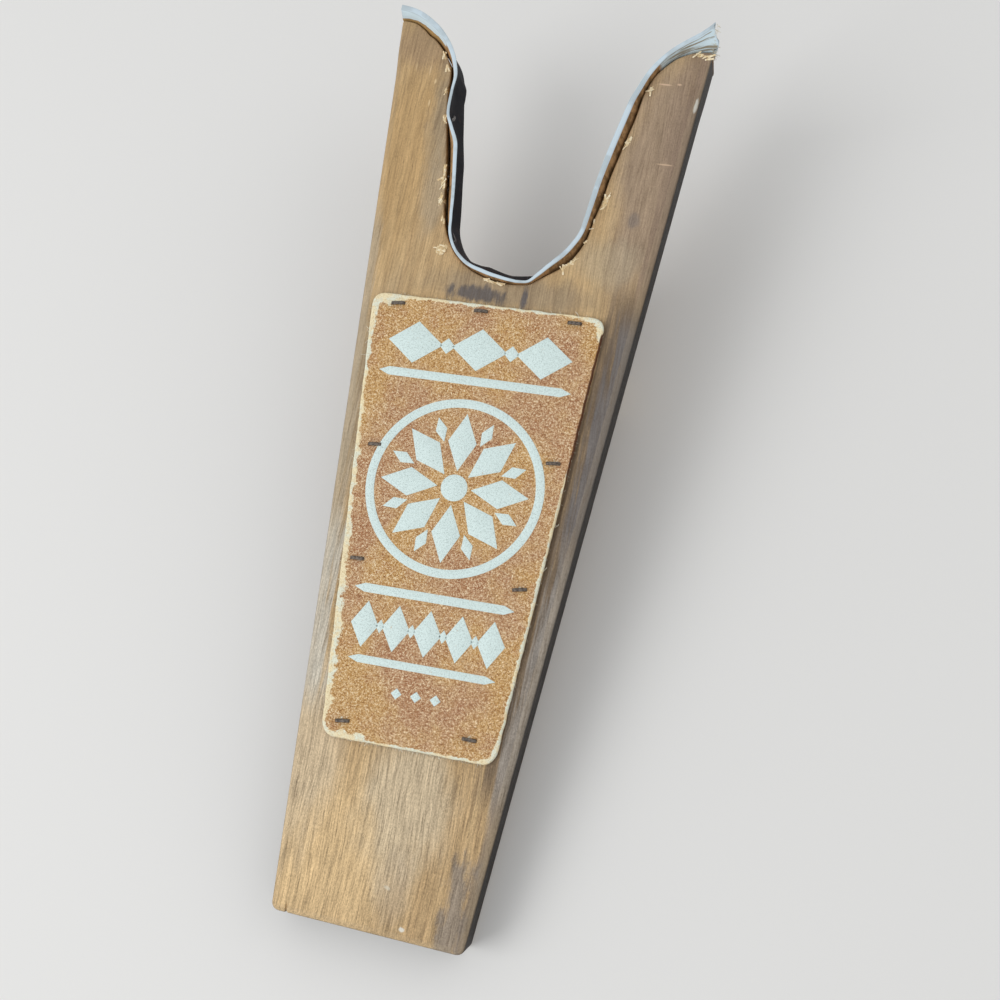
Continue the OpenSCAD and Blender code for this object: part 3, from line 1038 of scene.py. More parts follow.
class Scatter:
    """Geometry Nodes trees that put one small shape on many points."""

    def __init__(self) -> None:
        """Builds the trees."""
        self.staples = self._staples()
        self.fibres = self._fibres()
        self.lozenges = self._lozenges()

    @staticmethod
    def _placed(g: Graph, source: Node, sink: Node, shape: Socket, sized: bool) -> None:
        """Puts a shape on every point, turned by its own mark, as one mesh with its finish.

        Args:
            g: Graph of the tree.
            source: Its Group Input.
            sink: Its Group Output.
            shape: The shape to repeat.
            sized: Whether each point also has a size.
        """
        turn = g.geo("InputNamedAttribute", {"Name": Mark.TURN.value}, data_type="FLOAT_VECTOR")
        inputs: dict[str | int, Value] = {
            "Points": source.outputs["Points"],
            "Instance": shape,
            "Rotation": g.add("FunctionNodeEulerToRotation", {0: turn}).outputs[0],
        }
        if sized:
            size = {"Name": Mark.SIZE.value}
            inputs["Scale"] = g.geo("InputNamedAttribute", size, data_type="FLOAT_VECTOR")
        plain = g.geo("RealizeInstances", {0: g.geo("InstanceOnPoints", inputs)})
        dressed = g.geo("SetMaterial", {"Geometry": plain, "Material": source.outputs["Finish"]})
        g.put(sink.inputs[0], dressed)

    def _staples(self) -> Tree:
        """Flat staple wire bent into a crown along X with two legs down."""
        sizes = {"Crown": 5.7, "Leg": 10.0, "Wire Width": 1.3, "Wire Thickness": 0.9}
        sizes |= {"Bend": 0.7, "Rounding": 0.28}
        g, source, sink = scatter_tree("bent staples", {name: (FLOAT, size) for name, size in sizes.items()})
        thick, leg = source.outputs["Wire Thickness"], source.outputs["Leg"]
        half = g.mul(g.sub(source.outputs["Crown"], thick), 0.5)
        level = g.mul(thick, 0.5)
        corners = [(g.mul(half, -1.0), g.mul(leg, -1.0)), (g.mul(half, -1.0), level)]
        corners += [(half, level), (half, g.mul(leg, -1.0))]
        line = g.geo("ResampleCurve", {"Curve": g.geo("CurvePrimitiveLine", {}), "Count": 4})
        pick = g.add("GeometryNodeIndexSwitch", data_type="VECTOR")
        while len(pick.index_switch_items) < len(corners):
            pick.index_switch_items.new()
        g.put(pick.inputs[0], g.geo("InputIndex", {}))
        for number, (x, y) in enumerate(corners):
            g.put(pick.inputs[number + 1], g.add("ShaderNodeCombineXYZ", {0: x, 1: y}).outputs[0])
        bent = g.geo("SetPosition", {"Geometry": line, "Position": pick.outputs[0]})
        inputs = {"Curve": bent, "Count": 5, "Radius": source.outputs["Bend"]}
        bent = g.geo("FilletCurve", inputs, mode="POLY")
        bent = g.geo("SetCurveNormal", {"Curve": bent}, mode="Z_UP")
        inputs = {"Width": thick, "Height": source.outputs["Wire Width"]}
        outline = g.geo("CurvePrimitiveQuadrilateral", inputs)
        inputs = {"Curve": outline, "Count": 3, "Radius": source.outputs["Rounding"]}
        outline = g.geo("FilletCurve", inputs, mode="POLY")
        wire = g.geo("CurveToMesh", {"Curve": bent, "Profile Curve": outline, "Fill Caps": True})
        upright = g.geo("Transform", {"Geometry": wire, "Rotation": (math.pi / 2, 0.0, 0.0)})
        self._placed(g, source, sink, upright, sized=False)
        return g.tree

    def _fibres(self) -> Tree:
        """Thin curling strand that stands along Z."""
        g, source, sink = scatter_tree("loose fibres", {"Thickness": (FLOAT, 0.08), "Curl": (FLOAT, 0.5)})
        line = g.geo("CurvePrimitiveLine", {"End": (0.0, 0.0, 1.0)})
        line = g.geo("ResampleCurve", {"Curve": line, "Count": 6})
        along = g.add("GeometryNodeSplineParameter").outputs["Factor"]
        sideways = g.mul(g.mul(along, along), source.outputs["Curl"])
        offset = g.add("ShaderNodeCombineXYZ", {0: sideways}).outputs[0]
        strand = g.geo("SetPosition", {"Geometry": line, "Offset": offset})
        strand = g.geo("SetCurveRadius", {"Curve": strand, "Radius": g.mad(along, -0.75, 1.0)})
        ring = g.geo("CurvePrimitiveCircle", {"Resolution": 4, "Radius": source.outputs["Thickness"]})
        hair = g.geo("CurveToMesh", {"Curve": strand, "Profile Curve": ring, "Fill Caps": True})
        self._placed(g, source, sink, hair, sized=True)
        return g.tree

    def _lozenges(self) -> Tree:
        """Flat shape with a number of equal sides, one unit from its middle to its corners."""
        g, source, sink = scatter_tree("printed shapes", {"Sides": ("NodeSocketInt", 4)})
        inputs = {"Vertices": source.outputs["Sides"], "Radius": 1.0}
        face = g.geo("MeshCircle", inputs, fill_type="NGON")
        raised = g.geo("ExtrudeMesh", {"Mesh": face, "Offset Scale": 1.0, "Individual": False})
        whole = g.add("GeometryNodeJoinGeometry")
        g.tree.links.new(g.geo("FlipFaces", {"Mesh": face}), whole.inputs[0])
        g.tree.links.new(raised, whole.inputs[0])
        welded = g.geo("MergeByDistance", {"Geometry": whole.outputs[0], "Distance": 1e-5})
        self._placed(g, source, sink, welded, sized=True)
        return g.tree


def scatter_tree(name: str, values: dict[str, tuple[str, object]]) -> tuple[Graph, Node, Node]:
    """Makes a Geometry Nodes tree that takes points, values of its own and a finish.

    Args:
        name: Name of the tree.
        values: Socket type and default of each value, by name.

    Returns:
        The tree's graph, its Group Input and its Group Output.
    """
    inputs = [("Points", SHAPE, None), *((label, *value) for label, value in values.items())]
    inputs.append(("Finish", "NodeSocketMaterial", None))
    return new_tree("GeometryNodeTree", name, inputs, [("Shapes", SHAPE)])


def grow(
    name: str,
    tree: Tree,
    points: np.ndarray,
    place: Matrix,
    marks: dict[Mark, np.ndarray],
    values: dict[str, object],
) -> Mesh:
    """Runs a Geometry Nodes tree on points and returns the plain mesh.

    Args:
        name: Name of the mesh.
        tree: The tree.
        points: One point a row, in millimetres.
        place: Matrix from these millimetres to metres in the room.
        marks: Vectors that the tree reads at each point.
        values: Values of the tree's named inputs, lengths in millimetres.

    Returns:
        The mesh, in place.
    """
    base = bpy.data.meshes.new(name)
    base.from_pydata([tuple(p) for p in points], [], [])
    for mark, vectors in marks.items():
        layer = base.attributes.new(mark.value, "FLOAT_VECTOR", "POINT")
        layer.data.foreach_set("vector", np.asarray(vectors, np.float32).ravel())
    holder = bpy.data.objects.new(name, base)
    modifier = holder.modifiers.new(name, "NODES")
    modifier.node_group = tree
    for item in tree.interface.items_tree:
        if item.item_type == "SOCKET" and item.in_out == "INPUT" and item.name in values:
            modifier[item.identifier] = values[item.name]
    bpy.context.scene.collection.objects.link(holder)
    graph = bpy.context.evaluated_depsgraph_get()
    mesh = bpy.data.meshes.new_from_object(holder.evaluated_get(graph), depsgraph=graph)
    holder.modifiers.remove(modifier)
    bpy.data.objects.remove(holder)
    mesh.transform(place)
    return mesh


# ---------------------------------------------------------------- the notch and the plank


@dataclass(frozen=True)
class NotchWall:
    """Line of the notch's wall, in the slanted frame of its cut, from the crotch to each horn."""

    crotch_v: float = 250.0
    depth: float = 103.5
    throat_r: float = 30.5
    nose_r: float = 21.0
    horn_x: float = 63.0
    land: float = 1.0
    slant: float = 5.0
    top: float = 19.0
    # Real line of the sawn wood: place as a share of half the wall, and how far it stands in
    sawn: tuple[tuple[float, float], ...] = (
        (-1.000, 0.0), (-0.960, 0.0), (-0.926, -0.6), (-0.891, -1.3), (-0.869, -0.7), (-0.840, -0.1),
        (-0.806, 1.0), (-0.782, 2.1), (-0.758, 3.0), (-0.723, 2.6), (-0.690, 1.8), (-0.610, 1.5),
        (-0.460, 1.4), (-0.350, 0.9), (-0.290, 0.8), (-0.200, 0.0), (-0.130, -0.7), (-0.060, -1.0),
        (0.000, -1.4), (0.045, -1.7), (0.073, -2.1), (0.100, -1.2), (0.140, -0.6), (0.190, -0.8),
        (0.273, -0.3), (0.361, 0.2), (0.404, 0.2), (0.500, 0.9), (0.574, 0.9), (0.662, 0.8),
        (0.744, 1.4), (0.811, 0.6), (0.850, 0.1), (0.902, 0.1), (0.960, 0.0), (1.000, 0.0),
    )  # fmt: skip

    @property
    def slant_angle(self) -> float:
        """Slant of the cut in radians."""
        return math.radians(self.slant)

    @property
    def nose_top(self) -> float:
        """Height of the noses above the crotch, along the slanted cut."""
        return self.depth * math.cos(self.slant_angle)

    @property
    def nose_y(self) -> float:
        """Height of the noses' centres above the crotch."""
        return self.nose_top - self.nose_r

    @property
    def flare(self) -> float:
        """Angle of the straight sides to the length of the plank, in radians."""
        rise = self.nose_y - self.throat_r
        gap = math.hypot(self.horn_x, rise)
        return math.atan2(self.horn_x, rise) - math.asin((self.throat_r + self.nose_r) / gap)

    @property
    def runs(self) -> tuple[float, float, float]:
        """Distances along the wall at which the throat, the straight side and the nose end."""
        rise = self.nose_y - self.throat_r
        gap = math.hypot(self.horn_x, rise)
        throat = self.throat_r * (math.pi / 2 - self.flare)
        side = throat + gap * math.cos(math.atan2(self.horn_x, rise) - self.flare)
        return throat, side, side + self.nose_r * (math.pi / 2 - self.flare)

    @property
    def half(self) -> float:
        """Length of half the wall."""
        return self.runs[2] + self.land

    def lean(self, s: np.ndarray) -> np.ndarray:
        """Angle of the wall to the length of the plank at distances from the crotch."""
        throat, side, _ = self.runs
        s = np.abs(s)
        nose = np.minimum(math.pi / 2, self.flare + (s - side) / self.nose_r)
        return np.where(s < throat, math.pi / 2 - s / self.throat_r, np.where(s < side, self.flare, nose))

    def point(self, s: np.ndarray) -> np.ndarray:
        """Points of the wall at distances from the crotch, the left horn's negative."""
        throat, side, nose = self.runs
        far, lean, flare = np.abs(s), self.lean(s), self.flare
        straight = np.clip(far - throat, 0, side - throat)
        x = np.where(
            far < throat,
            self.throat_r * np.sin(far / self.throat_r),
            self.throat_r * math.cos(flare) + straight * math.sin(flare),
        )
        y = np.where(
            far < throat,
            self.throat_r * (1 - np.cos(far / self.throat_r)),
            self.throat_r * (1 - math.sin(flare)) + straight * math.cos(flare),
        )
        x = np.where(far > side, self.horn_x - self.nose_r * np.cos(lean) + np.maximum(0, far - nose), x)
        y = np.where(far > side, self.nose_y + self.nose_r * np.sin(lean), y)
        return beside(np.where(s < 0, -x, x), y)

    def normal(self, s: np.ndarray) -> np.ndarray:
        """Directions from the wall into the notch."""
        lean = self.lean(s)
        return beside(np.where(s < 0, 1.0, -1.0) * np.cos(lean), np.sin(lean))

    def uneven(self, s: np.ndarray) -> np.ndarray:
        """How far the sawn wood stands into the notch from the wall's plain line."""
        return flow(s / self.half, self.sawn, 1)

    def place(self, s: np.ndarray, w: np.ndarray | float, off: np.ndarray | float) -> np.ndarray:
        """Points off the wall on the plank.

        Args:
            s: Distances along the wall from the crotch.
            w: Heights over the plank's underside.
            off: Distances from the wall into the notch.

        Returns:
            One row of u, v and w for each distance.
        """
        flat = self.point(s) + np.reshape(off, (-1, 1)) * self.normal(s)
        w = np.broadcast_to(w, s.shape)
        v = self.crotch_v + flat[:, 1] / math.cos(self.slant_angle)
        return beside(flat[:, 0], v - (w - self.top) * math.tan(self.slant_angle), w)


@dataclass(frozen=True)
class Chip:
    """Broken wood at the notch: place as a share of half the wall, distance in from the edge, half
    length and half width of the pale place, depth of the break, number of its loose splinters and
    their direction in degrees from the length of the plank."""

    share: float
    inset: float
    length: float
    width: float
    depth: float
    splinters: int = 5
    aim: float = 0.0


@dataclass(frozen=True)
class Plank:
    """The forked plank, with eased edges, a chipped notch and a crack at its tail."""

    length: float = 356.0
    fork_w: float = 128.0
    tail_w: float = 73.5
    thickness: float = 19.0
    tilt: float = 9.0
    edge_r: float = 2.5
    corner_r: float = 3.0
    lip_r: float = 0.7
    horn_r: float = 1.3
    crack_u: float = -30.8
    crack_l: float = 5.0
    crack_half_w: float = 0.45
    crack_deep: float = 1.4
    crack_back: float = 1.6
    arc_n: int = 7
    bend_n: int = 4
    rings: tuple[float, ...] = (6.5, 4.6, 3.2, 2.1, 1.3, 0.6)
    wall: NotchWall = field(default_factory=NotchWall)
    chips: tuple[Chip, ...] = (
        Chip(0.595, 1.0, 2.0, 0.7, 0.7, 9, -28),
        Chip(0.400, 1.5, 2.6, 0.8, 0.9, 11, -30),
        Chip(0.768, 1.6, 1.6, 0.5, 0.5, 6, -36),
        Chip(0.985, 2.4, 1.6, 1.0, 0.8, 8, -70),
        Chip(0.960, 1.4, 1.4, 0.7, 0.5, 4, -60),
        Chip(0.205, 0.8, 2.6, 0.7, 0.7, 8, -58),
        Chip(0.180, 0.3, 1.2, 0.5, 0.5, 5, 20),
        Chip(0.270, 0.3, 1.4, 0.4, 0.4, 3, -30),
        Chip(0.330, 0.2, 2.0, 0.4, 0.3, 2, -30),
        Chip(-0.015, 0.4, 5.4, 0.7, 0.6, 14, 82),
        Chip(-0.202, 4.0, 1.7, 2.6, 0.0, 16, 86),
        Chip(-0.280, 0.6, 1.2, 0.6, 0.6, 4, 4),
        Chip(-0.340, 1.6, 1.6, 0.8, 0.7, 8, -14),
        Chip(-0.400, 0.8, 3.0, 0.9, 0.8, 14, -16),
        Chip(-0.440, 0.5, 2.4, 0.6, 0.5, 4, 6),
        Chip(-0.600, 0.9, 2.0, 0.8, 0.4, 6, 8),
        Chip(-0.765, 1.4, 1.3, 0.7, 0.6, 4, 12),
        Chip(-0.800, 1.0, 1.2, 0.7, 0.5, 4, 0),
        Chip(-0.690, 1.0, 1.4, 0.4, 0.5, 2, 0),
    )

    @property
    def taper(self) -> float:
        """Angle of a side to the length of the plank, in radians."""
        return math.atan((self.fork_w - self.tail_w) / 2 / self.length)

    def half_width(self, v: np.ndarray | float) -> np.ndarray | float:
        """Half of the plank's width at a distance from the tail."""
        return self.tail_w / 2 + v * math.tan(self.taper)

    def _columns(self) -> tuple[np.ndarray, np.ndarray, np.ndarray]:
        """Places along half the outline: tail points, points up the side, and distances down the wall."""
        tail = np.arange(0, self.tail_w / 2 - self.corner_r - 0.2, 1.2)
        crack = abs(self.crack_u) + np.array([-0.7, -0.35, -0.15, 0.0, 0.15, 0.35, 0.7])
        tail = np.array(sorted([u for u in tail if abs(u - abs(self.crack_u)) > 0.9] + list(crack)))
        side = np.concatenate([np.linspace(0.012, 0.92, 120), np.linspace(0.925, 1.0, 26)])
        wall = np.linspace(self.wall.half - self.horn_r, 0, 150)
        return tail, side, wall

    def outline(self, w: float, sign: int) -> tuple[np.ndarray, np.ndarray]:
        """Half of the outline at a height, from the middle of the tail to the crotch.

        Args:
            w: Height over the underside.
            sign: 1 for the right half, -1 for the left, which is turned over to the right here.

        Returns:
            Points, and directions into the wood.
        """
        tail, side, run = self._columns()
        a, r = self.taper, self.corner_r
        reach = r / math.tan((math.pi / 2 + a) / 2)
        centre = np.array([self.tail_w / 2 - reach, r])
        turn = np.linspace(-math.pi / 2, -a, self.arc_n)
        arc = centre + r * beside(np.cos(turn), np.sin(turn))
        horn_v = self.wall.place(np.array([self.wall.half]), w, 0)[0, 1]
        horn_v = min(self.length, horn_v)
        low, high = arc[-1, 1], horn_v - self.horn_r
        up = low + (high - low) * side
        sides = beside(self.half_width(up), up)
        corner = np.array([self.half_width(horn_v), horn_v])
        start = np.array([corner[0] - self.horn_r, horn_v])
        t = np.linspace(0, 1, self.bend_n + 2)[1:-1, None]
        bend = (1 - t) ** 2 * sides[-1] + 2 * t * (1 - t) * corner + t**2 * start
        notch = self.wall.place(run, w, self.wall.uneven(run * sign))[:, :2]
        into = -self.wall.normal(run)
        into[:, 0] /= math.cos(self.wall.slant_angle)
        into /= np.linalg.norm(into, axis=1)[:, None]
        notch[:, 1] = np.minimum(notch[:, 1], self.length)
        side_in = np.array([-math.cos(a), math.sin(a)])
        horn_in = np.array([0.0, -1.0])
        blend = side_in * (1 - t) + horn_in * t
        points = np.concatenate([beside(tail, 0 * tail), arc, sides, bend, notch])
        inward = np.concatenate(
            [
                np.tile([0.0, 1.0], (len(tail), 1)),
                (centre - arc) / r,
                np.tile(side_in, (len(sides), 1)),
                blend / np.linalg.norm(blend, axis=1)[:, None],
                into,
            ]
        )
        return points, inward

    def ring(self, w: float, sign: int, inset: np.ndarray) -> np.ndarray:
        """Half of a loop set in from the outline, its corners mitred.

        Args:
            w: Height over the underside.
            sign: 1 for the right half, -1 for the left.
            inset: Distance in from the outline, for each of its points.

        Returns:
            Points in u and v.
        """
        points, inward = self.outline(w, sign)
        tail, side, _ = self._columns()
        n_tail, n_arc, n_side = len(tail), self.arc_n, len(side)
        first_bend = n_tail + n_arc + n_side
        first_wall = first_bend + self.bend_n
        moved = points + inset[:, None] * inward
        limit = self.half_width(moved[:, 1]) - inset / math.cos(self.taper)
        deep = inset[n_tail] > self.corner_r - 0.05
        if deep:
            d = inset[n_tail]
            mitre = np.array([self.half_width(d) - d / math.cos(self.taper), d])
            at_tail = np.arange(len(moved)) < n_tail
            moved[at_tail & (moved[:, 0] > mitre[0])] = mitre
            moved[n_tail : n_tail + n_arc] = mitre
            low = slice(n_tail + n_arc, first_bend)
            moved[low][moved[low, 1] < mitre[1]] = mitre
        over = np.nonzero(moved[first_wall:, 0] <= limit[first_wall:])[0]
        meet = first_wall + int(over[0])
        if inset[first_wall] > self.horn_r * 0.9 and meet > first_wall:
            a, b = moved[meet - 1], moved[meet]
            ga, gb = a[0] - limit[meet - 1], b[0] - limit[meet]
            mitre = a + (b - a) * ga / (ga - gb)
            moved[first_bend:meet] = mitre
            low = slice(n_tail + n_arc, first_bend)
            moved[low][moved[low, 1] > mitre[1]] = mitre
        return moved * [sign, 1]

    def edge_radii(self, sign: int) -> np.ndarray:
        """Rounding of the top edge at each point of half the outline."""
        tail, side, run = self._columns()
        outer = np.full(len(tail) + self.arc_n + len(side) + self.bend_n, self.edge_r)
        points, _ = self.outline(self.thickness, 1)
        from_horn = self.length - points[: len(outer), 1]
        outer = self.horn_r * 0.7 + (outer - self.horn_r * 0.7) * ease((from_horn - 14) / 14)
        radii = self.lip_r + 0.25 * wander(beside(run * sign, 0 * run), 4.0, 3.3)
        near_horn = ease(1 - (self.wall.half - run) / 12)
        radii = radii + (self.horn_r * 0.7 - radii) * near_horn
        for chip in self.chips:
            at = chip.share * self.wall.half
            if chip.share * sign >= 0:
                hill = bump(run - abs(at), chip.length * 1.2)
                jag = 1 + 0.6 * wander(beside(run * sign, 0 * run), 1.1, chip.share * 9)
                radii = radii + chip.depth * hill * jag * ease((self.wall.half - run) / 6)
        return np.concatenate([outer, np.clip(radii, 0.35, 2.6)])

    def raw(self, sign: int, inset: np.ndarray) -> np.ndarray:
        """Strength of the pale broken wood at points set in from the outline."""
        run = self._columns()[2]
        strength = np.zeros(len(inset))
        first = len(inset) - len(run)
        for chip in self.chips:
            if chip.share * sign >= 0:
                along = (run - abs(chip.share) * self.wall.half) / chip.length
                across = (inset[first:] - chip.inset) / chip.width
                strength[first:] = np.maximum(strength[first:], ease(1.5 - np.hypot(along, across)))
        return strength

    def build(self, finish: Material, slope: Slope) -> Piece:
        """Builds the plank.

        Args:
            finish: Its material.
            slope: Its place.

        Returns:
            The piece.
        """
        turns = np.radians(np.linspace(0, 90, 7))
        levels = np.linspace(0, 1, 6)[1:-1]
        rows: list[np.ndarray] = []
        kinds = (Mark.RAW, Mark.WALL, Mark.SIDE, Mark.WORN, Mark.UNDER)
        marks: dict[str, list[np.ndarray]] = {mark.value: [] for mark in kinds}
        run = self._columns()[2]
        halves = {sign: self.edge_radii(sign) for sign in (1, -1)}
        first_wall = len(halves[1]) - len(run)
        notch_share = (np.arange(len(halves[1])) >= first_wall - 2).astype(float)

        def row(kind: str, t: float) -> None:
            """Adds one loop round the plank."""
            half_rows, half_marks = {}, {}
            for sign, top_r in halves.items():
                low_r = np.where(notch_share > 0, self.lip_r, np.minimum(top_r, self.edge_r))
                if kind == "inner":
                    inset, w = top_r + t, np.full(len(top_r), self.thickness)
                elif kind == "top":
                    inset, w = top_r * (1 - math.sin(t)), self.thickness - top_r * (1 - math.cos(t))
                elif kind == "wall":
                    inset, w = 0 * top_r, self.thickness - top_r + t * (low_r - self.thickness + top_r)
                elif kind == "low":
                    inset, w = low_r * (1 - math.cos(t)), low_r * (1 - math.sin(t))
                else:
                    inset, w = low_r + t, 0 * top_r
                level = float(np.mean(w))
                flat = self.ring(level, sign, inset)
                half_rows[sign] = beside(flat, w)
                under = 1.0 if kind == "under" else (t / QUARTER if kind == "low" else 0.0)
                down = t / QUARTER if kind == "top" else float(kind != "inner")
                upper = kind in ("inner", "top", "wall")
                raw = self.raw(sign, inset + (self.thickness - w)) if upper else 0 * w
                half_marks[sign] = {
                    "raw": raw * (1 - 0.6 * ease((self.thickness - w - 1) / 3)),
                    "wall": notch_share * ease((self.thickness - w) / 0.8) * (1 - under),
                    # Side walls and the outer half of the top roundover: dark stain with painted shade
                    "side": (1 - notch_share) * ease((down - 0.5) / 0.5) * (1 - under),
                    "worn": (1 - notch_share) * bump(w - self.thickness + 0.6, 1.6) * (kind == "top"),
                    "under": under + 0 * w,
                }
            loop = np.concatenate([half_rows[1], half_rows[-1][::-1]])
            rows.append(loop)
            for name in marks:
                marks[name].append(np.concatenate([half_marks[1][name], half_marks[-1][name][::-1]]))

        steps = {"inner": self.rings, "top": turns, "wall": levels, "low": turns, "under": self.rings[2::-1]}
        for kind, shares in steps.items():
            for t in shares:
                row(kind, t)
        rows = [self._wear(r) for r in rows]
        draft = Draft(kinds)
        draft.grid(rows, closed=True, caps=True, **{k: np.concatenate(v) for k, v in marks.items()})
        piece = draft.piece("forked_plank", slope.matrix(), [finish], crease=50)
        return seat(piece, Slot.PLANK, "plank")

    def _wear(self, loop: np.ndarray) -> np.ndarray:
        """Moves a loop's points by small dents along the edges and the crack at the tail."""
        worn = loop.copy()
        edge = ease((self.thickness - loop[:, 2]) / 1.2) * ease(loop[:, 2] / 1.2)
        centre = np.array([0.0, self.length * 0.45, self.thickness / 2])
        away = worn - centre
        away[:, 2] = 0
        away /= np.linalg.norm(away, axis=1)[:, None] + 1e-9
        outer = np.abs(np.abs(loop[:, 0]) - self.half_width(loop[:, 1])) < 2.6
        dents = 0.10 * wander(loop, 9.0, 1.7) + 0.05 * wander(loop, 2.5, 5.1)
        worn[:, :2] -= (np.abs(dents) * outer * (0.3 + 0.7 * edge))[:, None] * away[:, :2]
        crack = bump(loop[:, 0] - self.crack_u, self.crack_half_w)
        split = crack * bump(loop[:, 1], self.crack_l)
        worn[:, 2] -= self.crack_deep * split * (loop[:, 2] > self.thickness - 3)
        end = self.crack_back * crack * bump(loop[:, 1], self.crack_back)
        worn[:, 1] += end * (loop[:, 2] > self.thickness / 2)
        return worn


# ---------------------------------------------------------------- the strip in the notch


